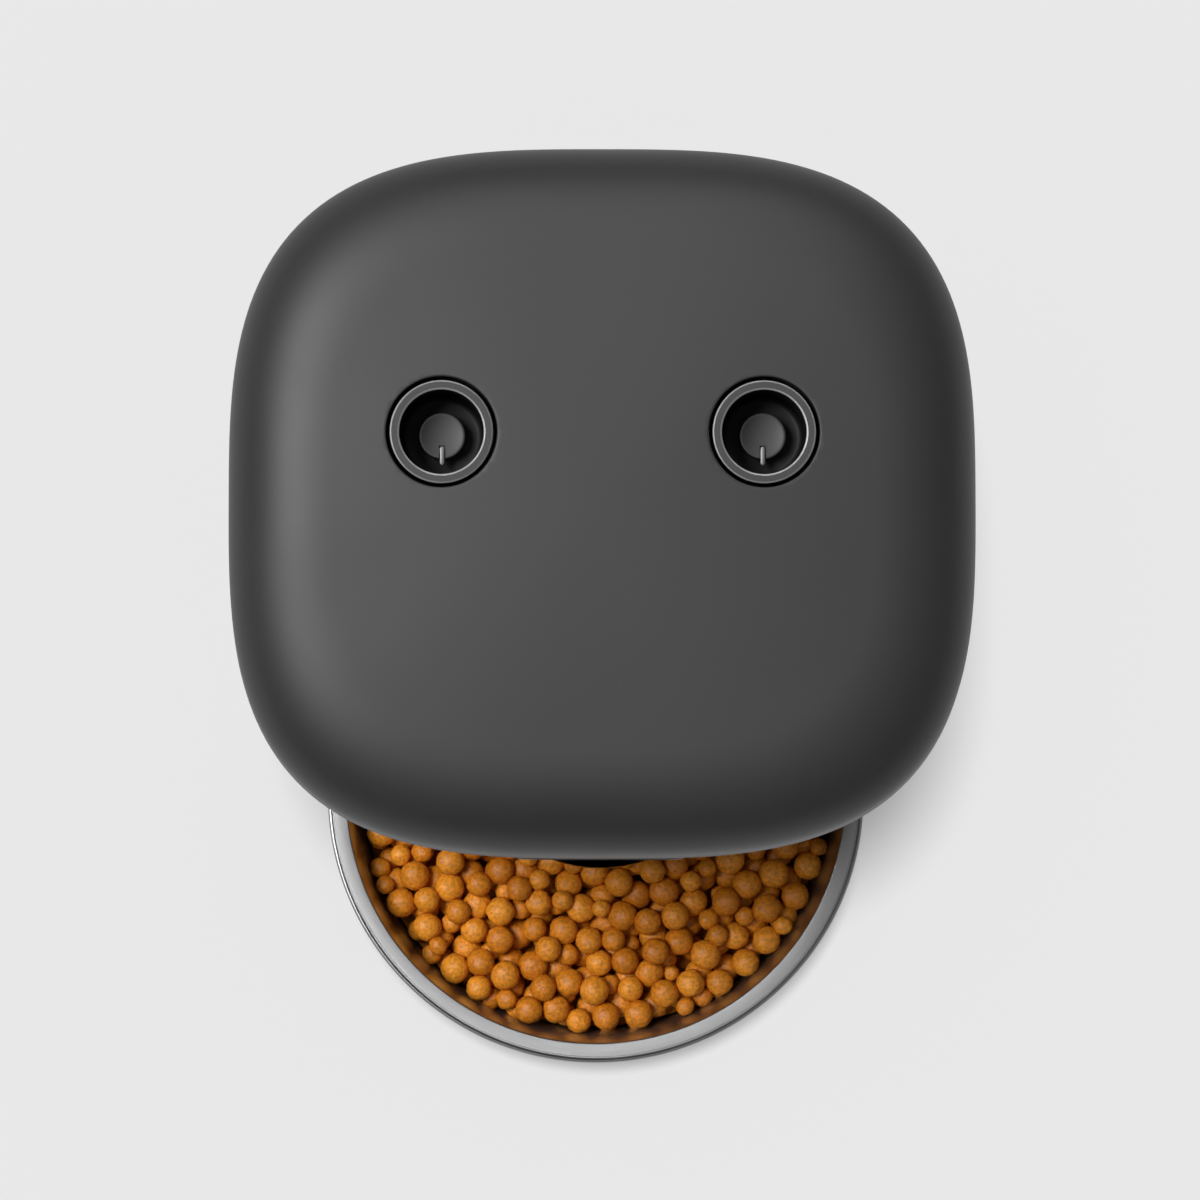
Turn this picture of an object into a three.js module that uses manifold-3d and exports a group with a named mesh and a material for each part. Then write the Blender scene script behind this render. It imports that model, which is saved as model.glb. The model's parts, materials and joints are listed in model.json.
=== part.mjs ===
// Automatic pet feeder with a camera: a rounded-square hopper body over a round steel bowl.
// Millimetres, +Z up, the bowl and the camera look towards -Y, and the origin lies on the table
// under the middle of the whole outline.
import * as THREE from 'three';
import { ConvexGeometry } from 'three/addons/geometries/ConvexGeometry.js';
import { mergeVertices } from 'three/addons/utils/BufferGeometryUtils.js';
import Module from 'manifold-3d';

const wasm = await Module();
wasm.setup();

// Driving dimensions: the body is sized round its bowl, and stacked from the table up
const bowlRadius = 84.6;
const bowlSideInset = 20.4;
const bowlReach = 58;
const alcoveGap = 4.4;
const columnDepth = 83.6;
const headBottom = 157;
const headHeight = 145;
const lidWallHeight = 11;
const lidRoundHeight = 22;
const lidDome = 5;
const footHeight = 4;
const baseThickness = 4;
const shellWall = 2.8;
const linerWall = 2.6;
const headTaper = 5;
const columnTaper = 1.3;
const fitGap = 0.3;
const overrun = 1;

// The body outline is a superellipse: higher powers give squarer corners.
const cornerPower = 3.11;
const outlineSteps = 28;
const roundSteps = 16;
const smallSteps = 8;

const bodyWidth = 2 * (bowlRadius + bowlSideInset);
const overallDepth = 2 * bowlRadius + alcoveGap + columnDepth;
const bodyDepth = overallDepth - bowlReach;
const partingHeight = headBottom + headHeight;
const overallHeight = partingHeight + lidWallHeight + lidRoundHeight + lidDome;
const alcoveRadius = bowlRadius + alcoveGap;
const bodyCentreY = bowlReach / 2;
const bowlCentreY = bowlRadius - overallDepth / 2;
const alcoveBackY = bowlCentreY + alcoveRadius + linerWall;
const baseTop = footHeight + baseThickness;
const columnBottom = baseTop + fitGap;
const columnTop = headBottom - fitGap;

// Shape helpers
function facingOut(geometry) {
  const position = geometry.attributes.position;
  const index = geometry.index.array;
  const a = new THREE.Vector3();
  const b = new THREE.Vector3();
  const c = new THREE.Vector3();
  let volume = 0;
  for (let i = 0; i < index.length; i += 3) {
    a.fromBufferAttribute(position, index[i]);
    b.fromBufferAttribute(position, index[i + 1]);
    c.fromBufferAttribute(position, index[i + 2]);
    volume += a.dot(b.cross(c));
  }
  if (volume < 0) {
    for (let i = 0; i < index.length; i += 3) {
      [index[i], index[i + 1]] = [index[i + 1], index[i]];
    }
  }
  return geometry;
}

function toSolid(geometry) {
  const plain = geometry.clone();
  plain.deleteAttribute('normal');
  plain.deleteAttribute('uv');
  const merged = facingOut(mergeVertices(plain));
  return new wasm.Manifold(new wasm.Mesh({
    numProp: 3,
    vertProperties: new Float32Array(merged.attributes.position.array),
    triVerts: new Uint32Array(merged.index.array),
  }));
}

function toGeometry(solid) {
  const mesh = solid.getMesh();
  const geometry = new THREE.BufferGeometry();
  const corners = new Float32Array(mesh.vertProperties);
  geometry.setAttribute('position', new THREE.BufferAttribute(corners, 3));
  geometry.setIndex(new THREE.BufferAttribute(new Uint32Array(mesh.triVerts), 1));
  return geometry;
}

function block(x, y, z) {
  const geometry = new THREE.BoxGeometry(x[1] - x[0], y[1] - y[0], z[1] - z[0]);
  geometry.translate((x[0] + x[1]) / 2, (y[0] + y[1]) / 2, (z[0] + z[1]) / 2);
  return toSolid(geometry);
}

// A solid of revolution about Z, from points of radius and height.
function turned(profile, steps = roundSteps) {
  const points = profile.map(([radius, height]) => new THREE.Vector2(radius, height));
  const geometry = new THREE.LatheGeometry(points, steps);
  geometry.rotateX(Math.PI / 2);
  return toSolid(geometry);
}

function drum(radius, low, high, steps = smallSteps) {
  return turned([[0, low], [radius, low], [radius, high], [0, high]], steps);
}

// The cut for a shaft that turns: its flats, not only its corners, clear the shaft.
function bearing(shaftSize, low, high) {
  return drum((shaftSize + fitGap) / Math.cos(Math.PI / smallSteps), low, high);
}

// The same solid with its axis along Y: heights become depths, measured towards +Y.
function alongY(solid) {
  return solid.rotate([-90, 0, 0]);
}

function alongX(solid) {
  return solid.rotate([0, 90, 0]);
}

function extruded(shape, low, high, curveSegments = smallSteps) {
  const geometry = new THREE.ExtrudeGeometry(shape, {
    depth: high - low,
    bevelEnabled: false,
    curveSegments,
  });
  geometry.translate(0, 0, low);
  return toSolid(geometry);
}

// Skins level outlines that have equal numbers of points, and closes both ends.
function lofted(rings) {
  const count = rings[0].length;
  const faces = [];
  for (let level = 0; level + 1 < rings.length; level += 1) {
    for (let i = 0; i < count; i += 1) {
      const low = level * count + i;
      const next = level * count + ((i + 1) % count);
      faces.push(low, next, next + count, low, next + count, low + count);
    }
  }
  const flat = (ring) => {
    const points = ring.map((p) => new THREE.Vector2(p.x, p.y));
    return THREE.ShapeUtils.triangulateShape(points, []);
  };
  const topStart = (rings.length - 1) * count;
  flat(rings[0]).forEach(([a, b, c]) => faces.push(a, c, b));
  flat(rings[rings.length - 1]).forEach((corners) => {
    faces.push(...corners.map((corner) => topStart + corner));
  });
  const geometry = new THREE.BufferGeometry();
  const corners = new Float32Array(rings.flat().flatMap((p) => [p.x, p.y, p.z]));
  geometry.setAttribute('position', new THREE.BufferAttribute(corners, 3));
  geometry.setIndex(new THREE.BufferAttribute(new Uint32Array(faces), 1));
  return toSolid(geometry);
}

function superellipse(halfWidth, halfDepth, power, centreY, height, steps = outlineSteps) {
  return Array.from({ length: steps }, (_, i) => {
    const angle = (2 * Math.PI * i) / steps;
    const across = Math.cos(angle);
    const along = Math.sin(angle);
    return new THREE.Vector3(
      halfWidth * Math.sign(across) * Math.abs(across) ** (2 / power),
      centreY + halfDepth * Math.sign(along) * Math.abs(along) ** (2 / power),
      height,
    );
  });
}

// How far the drafted body lies inside its widest outline at a height.
function bodyInset(height) {
  if (height >= headBottom) {
    return (headTaper * Math.max(0, partingHeight - height)) / headHeight;
  }
  return headTaper + (columnTaper * (headBottom - height)) / (headBottom - columnBottom);
}

function bodyRing(height, inset, steps = outlineSteps) {
  const inside = inset + bodyInset(height);
  const halfWidth = bodyWidth / 2 - inside;
  const halfDepth = bodyDepth / 2 - inside;
  return superellipse(halfWidth, halfDepth, cornerPower, bodyCentreY, height, steps);
}

// A solid bounded by the body outline, from pairs of height and inset.
function bodySolid(levels, steps = outlineSteps) {
  return lofted(levels.map(([height, inset]) => bodyRing(height, inset, steps)));
}

function bodyFrontY(height) {
  return bodyCentreY - bodyDepth / 2 + bodyInset(height);
}

function bodyBackY(height) {
  return bodyCentreY + bodyDepth / 2 - bodyInset(height);
}

// The inner face of the body wall beside the middle, at the front (-1) or at the back (1).
function wallInsideY(x, height, end) {
  const inside = bodyInset(height) + shellWall;
  const halfWidth = bodyWidth / 2 - inside;
  const halfDepth = bodyDepth / 2 - inside;
  return bodyCentreY + end * halfDepth * (1 - Math.abs(x / halfWidth) ** cornerPower) ** (1 / cornerPower);
}

// Materials
function finish(color, roughness, metalness) {
  return new THREE.MeshStandardMaterial({ color, roughness, metalness });
}
const graphite = finish(0x4a4a4c, 0.45, 0);
const innerBlack = finish(0x1c1c1e, 0.6, 0);
const glossBlack = finish(0x070708, 0.08, 0);
const clearGrey = finish(0x9aa0a4, 0.25, 0);
const rubber = finish(0x151515, 0.85, 0);
const steel = finish(0xb9bbbd, 0.3, 1);
const zinc = finish(0xa8a9ab, 0.38, 1);
const boardGreen = finish(0x1f4a35, 0.6, 0);
const cellGrey = finish(0x3b5568, 0.4, 0);
const nylon = finish(0xd9d6cc, 0.55, 0);
const lightGuide = finish(0xdfe7ea, 0.3, 0);
const kibbleBrown = finish(0x9a5a22, 0.8, 0);

const feeder = new THREE.Group();

function addPart(name, solid, material, parent = feeder) {
  const mesh = new THREE.Mesh(toGeometry(solid), material);
  mesh.name = name;
  parent.add(mesh);
  return mesh;
}

// Column and alcove: the stand that the head is carried on, hollowed to let the bowl in
const armReach = 30;
const armEndY = bowlCentreY + armReach;
const columnArcSteps = 24;
const alcoveArcSteps = 18;
const noseSteps = 4;

// The stand's outline: round the back from one arm to the other, and back along the alcove.
function standRing(height, inset) {
  const inside = inset + bodyInset(height);
  const halfWidth = bodyWidth / 2 - inside;
  const halfDepth = bodyDepth / 2 - inside;
  const innerRadius = alcoveRadius + inset;
  const startAngle = -Math.asin(Math.abs((armEndY - bodyCentreY) / halfDepth) ** (cornerPower / 2));
  const points = [];
  for (let i = 0; i <= columnArcSteps; i += 1) {
    const angle = startAngle + ((Math.PI - 2 * startAngle) * i) / columnArcSteps;
    const across = Math.cos(angle);
    const along = Math.sin(angle);
    const x = halfWidth * Math.sign(across) * Math.abs(across) ** (2 / cornerPower);
    const y = bodyCentreY + halfDepth * Math.sign(along) * Math.abs(along) ** (2 / cornerPower);
    points.push(new THREE.Vector3(x, y, height));
  }
  const outerX = points[0].x;
  const innerX = Math.sqrt(innerRadius ** 2 - armReach ** 2);
  const noseRadius = (outerX - innerX) / 2;
  const noseX = (outerX + innerX) / 2;
  const addNose = (x) => {
    for (let i = 1; i < noseSteps; i += 1) {
      const angle = Math.PI + (Math.PI * i) / noseSteps;
      const y = armEndY + noseRadius * Math.sin(angle);
      points.push(new THREE.Vector3(x + noseRadius * Math.cos(angle), y, height));
    }
  };
  addNose(-noseX);
  const sweepStart = Math.atan2(armReach, -innerX);
  const sweepEnd = Math.atan2(armReach, innerX);
  for (let i = 0; i <= alcoveArcSteps; i += 1) {
    const angle = sweepStart + ((sweepEnd - sweepStart) * i) / alcoveArcSteps;
    const y = bowlCentreY + innerRadius * Math.sin(angle);
    points.push(new THREE.Vector3(innerRadius * Math.cos(angle), y, height));
  }
  addNose(noseX);
  return points;
}

function standSolid(low, high, inset) {
  return lofted([standRing(low, inset), standRing(high, inset)]);
}

function bowlDrum(radius, low, high) {
  return drum(radius, low, high, outlineSteps).translate([0, bowlCentreY, 0]);
}

// A cut whose flats, not only its corners, clear the radius.
function bowlBore(radius, low, high) {
  return bowlDrum(radius / Math.cos(Math.PI / outlineSteps), low - overrun, high + overrun);
}

// Battery box with three round cells, behind the rear opening and its cover
const boxWall = 1.8;
const cellRadius = 16.4;
const cellLength = 61.5;
const cellGap = 1.4;
const cellEndGap = 1.6;
const cellTipRadius = 4;
const cellTipHeight = 1.4;
const cellPitch = 2 * cellRadius + cellGap;
const cellNames = ['battery_cell_left', 'battery_cell_middle', 'battery_cell_right'];
const boxHalfWidth = (cellNames.length * cellPitch) / 2 + boxWall;
const boxHigh = columnBottom + 2 * boxWall + cellLength + cellEndGap;
const boxBackY = wallInsideY(boxHalfWidth, columnBottom, 1) - 2 * fitGap;
const boxFrontY = boxBackY - boxWall - 2 * cellRadius;
const cellY = boxFrontY + boxWall + fitGap + cellRadius;
const openingSideRim = 1.5;
const openingSill = 3.7;
const openingHead = 3;
const coverGap = 0.4;

function batteryOpening(gap) {
  const halfWidth = boxHalfWidth - openingSideRim - gap;
  return block(
    [-halfWidth, halfWidth],
    [bodyCentreY + bodyDepth / 4, bodyCentreY + bodyDepth / 2],
    [columnBottom + openingSill + gap, boxHigh - openingHead - gap],
  );
}

function batteryBox() {
  const outside = block([-boxHalfWidth, boxHalfWidth], [boxFrontY, boxBackY], [columnBottom, boxHigh]);
  const inside = block(
    [-boxHalfWidth + boxWall, boxHalfWidth - boxWall],
    [boxFrontY + boxWall, boxBackY + overrun],
    [columnBottom + boxWall, boxHigh - boxWall],
  );
  return outside.subtract(inside);
}

function batteryCell() {
  return turned([
    [0, 0],
    [cellRadius, 0],
    [cellRadius, cellLength - cellTipHeight],
    [cellTipRadius, cellLength - cellTipHeight],
    [cellTipRadius, cellLength],
    [0, cellLength],
  ]);
}

// Main board above the battery box, with the power inlet between it and the rear wall
const boardThickness = 1.6;
const boardSetIn = 9;
const boardBelowHead = 8.7;
const mainBoardY = boxBackY - boardSetIn;
const mainBoardHalfWidth = 40;
const mainBoardLow = boxHigh + fitGap;
const mainBoardHigh = columnTop - boardBelowHead;
const tallestComponent = 9;
// Components: left and right as shares of the half width, low and high as shares of the board's
// height, and how far they stand out as a share of the tallest.
const componentShares = [
  [-0.75, -0.35, 0.48, 0.7, 0.22],
  [0.05, 0.65, 0.59, 0.92, 0.36],
  [-0.85, -0.6, 0.12, 0.28, 1],
  [0.55, 0.85, 0.12, 0.23, 0.78],
];

function mainBoard() {
  const boardBack = mainBoardY + boardThickness;
  let board = block(
    [-mainBoardHalfWidth, mainBoardHalfWidth],
    [mainBoardY, boardBack],
    [mainBoardLow, mainBoardHigh],
  );
  const heightAt = (share) => THREE.MathUtils.lerp(mainBoardLow, mainBoardHigh, share);
  componentShares.forEach(([left, right, low, high, out]) => {
    board = board.add(block(
      [left * mainBoardHalfWidth, right * mainBoardHalfWidth],
      [mainBoardY - out * tallestComponent, mainBoardY + boardThickness / 2],
      [heightAt(low), heightAt(high)],
    ));
  });
  return board;
}

const inletAboveBox = 28.7;
const inletHeight = boxHigh + inletAboveBox;
const inletBackY = bodyBackY(inletHeight);
const inletBarrelRadius = 4.5;
const inletBoreRadius = 3.3;
const inletPinRadius = 1;
const inletBoreDepth = 9;
const inletHalfWidth = 5.2;
const inletRecess = 0.4;

function powerSocket() {
  const mouth = inletBackY - inletRecess;
  const bodyBack = inletBackY - shellWall - fitGap * 2;
  const bottom = mouth - inletBoreDepth;
  const body = block(
    [-inletHalfWidth, inletHalfWidth],
    [mainBoardY + boardThickness + fitGap, bodyBack],
    [inletHeight - inletHalfWidth, inletHeight + inletHalfWidth],
  );
  const level = (solid) => alongY(solid).translate([0, 0, inletHeight]);
  const barrel = level(drum(inletBarrelRadius, bodyBack - overrun, mouth));
  const bore = level(drum(inletBoreRadius, bottom, mouth + overrun));
  const pin = level(drum(inletPinRadius, bottom - overrun, mouth - inletPinRadius));
  return body.add(barrel).subtract(bore.subtract(pin));
}

function columnHousing() {
  const wall = standSolid(columnBottom, columnTop, 0)
    .subtract(standSolid(columnBottom - overrun, columnTop + overrun, shellWall))
    .subtract(bowlBore(alcoveRadius + shellWall + fitGap, columnBottom, columnTop))
    .subtract(batteryOpening(0));
  const inletHole = alongY(drum(inletBarrelRadius + coverGap, -shellWall * 2, shellWall * 2))
    .translate([0, inletBackY, inletHeight]);
  return wall.subtract(inletHole);
}

function alcoveLiner() {
  const ring = bowlDrum(alcoveRadius + linerWall, columnBottom, columnTop)
    .subtract(bowlBore(alcoveRadius, columnBottom, columnTop));
  return ring.intersect(standSolid(columnBottom - overrun, columnTop + overrun, 0));
}

// Cover cut from the same drafted wall, with a finger scoop in its upper edge.
const scoopHalfWidth = 11;
const scoopRadius = 14;
const scoopDepth = 1.4;

function batteryCover() {
  const low = columnBottom;
  const wall = bodySolid([[low, 0], [boxHigh, 0]])
    .subtract(bodySolid([[low - overrun, shellWall], [boxHigh + overrun, shellWall]]));
  const panel = wall.intersect(batteryOpening(coverGap));
  const top = boxHigh - openingHead;
  const scoop = alongX(drum(scoopRadius, -scoopHalfWidth, scoopHalfWidth, roundSteps))
    .translate([0, bodyBackY(top) + scoopRadius - scoopDepth, top - scoopHalfWidth]);
  return panel.subtract(scoop);
}

// Bowl tray: its outer face from the floor up, as shares of the bowl's radius and of its height
const trayWall = 2.3;
const trayFloor = 2.2;
const trayFloorLow = baseTop + fitGap;
const trayFloorHigh = trayFloorLow + trayFloor;
const rimHeight = 60;
const trayBelowRim = 1.4;
const trayTop = rimHeight - trayBelowRim;
const trayShares = [[0.83, 0], [0.9243, 0.4712], [0.9693, 1]];
const trayOuter = trayShares.map(([across, up]) => (
  [across * bowlRadius, THREE.MathUtils.lerp(trayFloorLow, trayTop, up)]
));
const skirtReach = 1.5;
const skirtTaper = 1.2;
const skirtRadius = trayOuter[0][0] - skirtTaper;
const skirtLow = footHeight - skirtReach;
const skirtInnerRadius = skirtRadius - trayFloor;

// Base plate with a tongue that the bowl tray slides on, and five rubber feet
const plateInset = 1.5;
const tongueHalfWidth = 32;
const tongueFrontGap = 4.6;
const tongueRoot = 10;
const tongueFrontY = bowlCentreY - Math.sqrt(skirtInnerRadius ** 2 - tongueHalfWidth ** 2) + tongueFrontGap;
const tongueBackY = bowlCentreY + alcoveRadius + tongueRoot;
const footRadius = 9;
const footEdge = 0.8;
const footStemRadius = 3;
const rearFootSideInset = 33;
const rearFootBackInset = 36.6;
const sideFootInset = 17;
const sideFootBehindArm = 22;
const frontFootInset = 14;
const rearFootX = bodyWidth / 2 - rearFootSideInset;
const rearFootY = bodyCentreY + bodyDepth / 2 - rearFootBackInset;
const sideFootX = bodyWidth / 2 - sideFootInset;
const sideFootY = armEndY + sideFootBehindArm;
const footPlaces = {
  foot_rear_left: [-rearFootX, rearFootY],
  foot_rear_right: [rearFootX, rearFootY],
  foot_side_left: [-sideFootX, sideFootY],
  foot_side_right: [sideFootX, sideFootY],
  foot_front: [0, tongueFrontY + frontFootInset],
};

function basePlate() {
  let plate = standSolid(footHeight, baseTop, plateInset)
    .add(block([-tongueHalfWidth, tongueHalfWidth], [tongueFrontY, tongueBackY], [footHeight, baseTop]));
  Object.values(footPlaces).forEach(([x, y]) => {
    const hole = drum(footStemRadius + fitGap, footHeight - overrun, baseTop + overrun);
    plate = plate.subtract(hole.translate([x, y, 0]));
  });
  return plate;
}

function foot() {
  return turned([
    [0, 0],
    [footRadius - footEdge, 0],
    [footRadius, footEdge],
    [footRadius, footHeight - fitGap],
    [footStemRadius, footHeight - fitGap],
    [footStemRadius, baseTop - fitGap],
    [0, baseTop - fitGap],
  ], smallSteps);
}

const railThickness = 2;
const railRise = 1;

function bowlTray() {
  const inner = trayOuter.map(([radius, height]) => [radius - trayWall, Math.max(height, trayFloorHigh)]);
  const dish = turned([
    [0, trayFloorLow],
    [skirtInnerRadius, trayFloorLow],
    [skirtInnerRadius, skirtLow],
    [skirtRadius, skirtLow],
    ...trayOuter,
    ...inner.reverse(),
    [0, trayFloorHigh],
  ], outlineSteps);
  const near = tongueHalfWidth + fitGap;
  const far = near + railThickness;
  const gateBackY = skirtRadius + skirtTaper + overrun;
  const rearGate = block([-near, near], [skirtInnerRadius / 2, gateBackY], [0, trayFloorLow]);
  const railHalfLength = Math.sqrt(skirtInnerRadius ** 2 - far ** 2);
  let tray = dish.subtract(rearGate);
  [[-far, -near], [near, far]].forEach((x) => {
    const heights = [footHeight + railRise, trayFloorLow + trayFloor / 2];
    tray = tray.add(block(x, [-railHalfLength, railHalfLength], heights));
  });
  return tray.translate([0, bowlCentreY, 0]);
}

// Steel bowl: the outer face of its sheet as shares of its radius and height, and how far the
// inner face lies in and up from it, as shares of the sheet
const bowlSheet = 1;
const bowlBottom = trayFloorHigh + fitGap;
const beadRadius = 0.85;
const rimWidth = 5.7;
const throatInset = 5.5;
const bowlShares = [[0.6856, 0], [0.773, 0.053], [0.8818, 0.431]];
const bowlInwardShares = [[0.4, 1], [0.8, 1], [1, 0.4], [1, 0.2]];
const bowlOuter = [
  ...bowlShares.map(([across, up]) => [across * bowlRadius, THREE.MathUtils.lerp(bowlBottom, rimHeight, up)]),
  [bowlRadius - throatInset, rimHeight - bowlSheet],
];
const bowlInner = bowlOuter.map(([radius, height], i) => (
  [radius - bowlInwardShares[i][0] * bowlSheet, height + bowlInwardShares[i][1] * bowlSheet]
));

function bowl() {
  const beadMiddle = bowlRadius - beadRadius;
  const bead = [-1, 0, 1].map((turn) => [
    beadMiddle + beadRadius * Math.cos((turn * Math.PI) / 2),
    rimHeight - beadRadius + beadRadius * Math.sin((turn * Math.PI) / 2),
  ]);
  return turned([
    [0, bowlBottom],
    ...bowlOuter,
    [beadMiddle - beadRadius, rimHeight - bowlSheet],
    ...bead,
    [bowlRadius - rimWidth, rimHeight],
    ...[...bowlInner].reverse(),
    [0, bowlBottom + bowlSheet],
  ], outlineSteps).translate([0, bowlCentreY, 0]);
}

function bowlInsideRadius(height) {
  const [low, high] = bowlInner.slice(-2);
  return THREE.MathUtils.mapLinear(height, low[1], high[1], low[0], high[0]);
}

// Kibble: a heap whose top is pebbled by raising every other point of a ring
const kibbleRings = 8;
const kibbleSpokes = outlineSteps;
const kibbleGap = 0.8;
const kibbleBelowRim = 14.5;
const kibbleShoulder = 2;
const kibbleCrown = 6;
const pelletRise = 3.4;
const kibbleEdgeHeight = rimHeight - kibbleBelowRim;
const kibbleEdgeRadius = bowlInsideRadius(kibbleEdgeHeight) - 2 * kibbleGap;

function kibbleFill() {
  const ring = (radius, heightAt) => Array.from({ length: kibbleSpokes }, (_, i) => {
    const angle = (2 * Math.PI * i) / kibbleSpokes;
    return new THREE.Vector3(radius * Math.cos(angle), radius * Math.sin(angle), heightAt(i));
  });
  const shoulderHeight = kibbleEdgeHeight - kibbleShoulder;
  const under = bowlInner
    .slice(0, -1)
    .map(([radius, height]) => [radius - kibbleGap, height + kibbleGap / 2]);
  const rings = [...under, [bowlInsideRadius(shoulderHeight) - kibbleGap, shoulderHeight]]
    .map(([radius, height]) => ring(radius, () => height));
  for (let step = 0; step < kibbleRings; step += 1) {
    const share = 1 - step / kibbleRings;
    const base = kibbleEdgeHeight + kibbleCrown * (1 - share ** 2);
    const rise = (step % 2) * pelletRise * Math.min(1, share * 2);
    rings.push(ring(kibbleEdgeRadius * share, (i) => base + rise * ((i + (step - 1) / 2) % 2)));
  }
  return lofted(rings).translate([0, bowlCentreY, 0]);
}

// Head: the floor that carries the drive, and ledges in the shell for the floor and the hopper
const headEdge = 1.2;
const floorRecess = 0.7;
const floorThickness = 3;
const floorLow = headBottom + floorRecess;
const floorHigh = floorLow + floorThickness;
const ledgeReach = 2.4;
const ledgeHeight = 2.5;
const hopperDrop = 16.5;
const flangeThickness = 2.5;
const hopperTop = partingHeight - hopperDrop;
const flangeLow = hopperTop - flangeThickness;

// Front controls, and the camera above them
const controlsRise = 29;
const controlsHeight = headBottom + controlsRise;
const controlsFrontY = bodyFrontY(controlsHeight);
const buttonRadius = 7.6;
const grilleCentreX = -29;
const grilleHalfWidth = 13;
const grilleHalfHeight = 7;
const lightCentreX = 29;
const lightHalfWidth = 8;
const lightHalfHeight = 1.6;
const cameraRise = 50;
const cameraHeight = controlsHeight + cameraRise;
const cameraFrontY = bodyFrontY(cameraHeight);
const cameraTilt = Math.atan(headTaper / headHeight);
const windowRadius = 20.3;
const bezelWall = 1.8;
const bezelRadius = windowRadius + bezelWall;

function frontWindow(centreX, halfWidth, halfHeight) {
  return block(
    [centreX - halfWidth, centreX + halfWidth],
    [bodyCentreY - bodyDepth / 2, controlsFrontY + bodyDepth / 8],
    [controlsHeight - halfHeight, controlsHeight + halfHeight],
  );
}

function headShell() {
  const outside = bodySolid([
    [headBottom, headEdge],
    [headBottom + headEdge, 0],
    [partingHeight - fitGap, 0],
  ]);
  const ledgeLow = floorHigh + fitGap;
  const shelfHigh = flangeLow - fitGap;
  const inside = bodySolid([
    [headBottom - overrun, shellWall],
    [ledgeLow, shellWall],
    [ledgeLow, shellWall + ledgeReach],
    [ledgeLow + ledgeHeight + ledgeReach, shellWall],
    [shelfHigh - ledgeHeight - ledgeReach, shellWall],
    [shelfHigh, shellWall + ledgeReach],
    [shelfHigh, shellWall],
    [partingHeight + overrun, shellWall],
  ]);
  const lensHole = alongY(drum(bezelRadius + fitGap, -bodyDepth / 8, bodyDepth / 8, roundSteps))
    .rotate([THREE.MathUtils.radToDeg(cameraTilt), 0, 0])
    .translate([0, cameraFrontY, cameraHeight]);
  const buttonHole = alongY(drum(buttonRadius + coverGap, -bodyDepth / 16, bodyDepth / 16, roundSteps))
    .translate([0, controlsFrontY, controlsHeight]);
  return outside
    .subtract(inside)
    .subtract(lensHole)
    .subtract(buttonHole)
    .subtract(frontWindow(grilleCentreX, grilleHalfWidth + fitGap, grilleHalfHeight + fitGap))
    .subtract(frontWindow(lightCentreX, lightHalfWidth + fitGap, lightHalfHeight + fitGap));
}

// Gear train: the motor pinion drives the idler's wheel, whose small end drives the big gear
const toothSize = 1.2;
const driveTeeth = 28;
const idlerTeeth = 26;
const pinionTeeth = 11;
const driveDistance = (toothSize * (driveTeeth + pinionTeeth)) / 2;
const motorDistance = (toothSize * (idlerTeeth + pinionTeeth)) / 2;
const idlerBearing = (55 * Math.PI) / 180;
const motorBearing = (115 * Math.PI) / 180;
const motorBehindRotor = driveDistance * Math.sin(idlerBearing) + motorDistance * Math.sin(motorBearing);
const motorCanRadius = 12;
const motorAlcoveGap = 1.6;

// Feeding axis: the rotor, its pot, its shaft and the drive gear stand on it. It lies a little
// in front of the body's middle, and far enough back for the motor to hang behind the alcove.
const rotorForward = 7;
const rotorY = Math.max(
  bodyCentreY - rotorForward,
  alcoveBackY + motorAlcoveGap + motorCanRadius - motorBehindRotor,
);
const idlerX = driveDistance * Math.cos(idlerBearing);
const idlerY = rotorY + driveDistance * Math.sin(idlerBearing);
const motorX = idlerX + motorDistance * Math.cos(motorBearing);
const motorY = rotorY + motorBehindRotor;
const axleRadius = 2;
const motorBossRadius = 5;
const motorShaftRadius = 1.5;
const shaftRadius = 4;
const socketDepth = 2;

// Gear levels: the idler's wheel and the motor pinion below, the drive gear above
const gearFloorGap = 1.8;
const gearFace = 6;
const gearLevelGap = 1.5;
const gearPlateGap = 2;
const gearPlateThickness = 3;
const lowerGearLow = floorHigh + gearFloorGap;
const lowerGearHigh = lowerGearLow + gearFace;
const upperGearLow = lowerGearHigh + gearLevelGap;
const upperGearHigh = upperGearLow + gearFace;
const gearPlateLow = upperGearHigh + gearPlateGap;
const gearPlateHigh = gearPlateLow + gearPlateThickness;

// Metering: the pot with its outlet, the rotor in it, and the hood over the outlet
const potRadius = 50;
const potWall = 2.2;
const potFloorThickness = 2.5;
const potFloorLow = gearPlateHigh + fitGap;
const potFloorHigh = potFloorLow + potFloorThickness;
const outletInnerRadius = 24;
const outletOuterRadius = potRadius - 2;
const outletHalfAngle = (30 * Math.PI) / 180;
const vaneGap = 0.8;
const rotorHeight = 13.9;
const hoodGap = 0.9;
const hoodThickness = 3;
const rotorLow = potFloorHigh + vaneGap;
const rotorHigh = rotorLow + rotorHeight;
const hoodLow = rotorHigh + hoodGap;
const hoodHigh = hoodLow + hoodThickness;
const potTop = hoodHigh + 2 * fitGap;
const shaftTop = potTop + 2 * fitGap;

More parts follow.
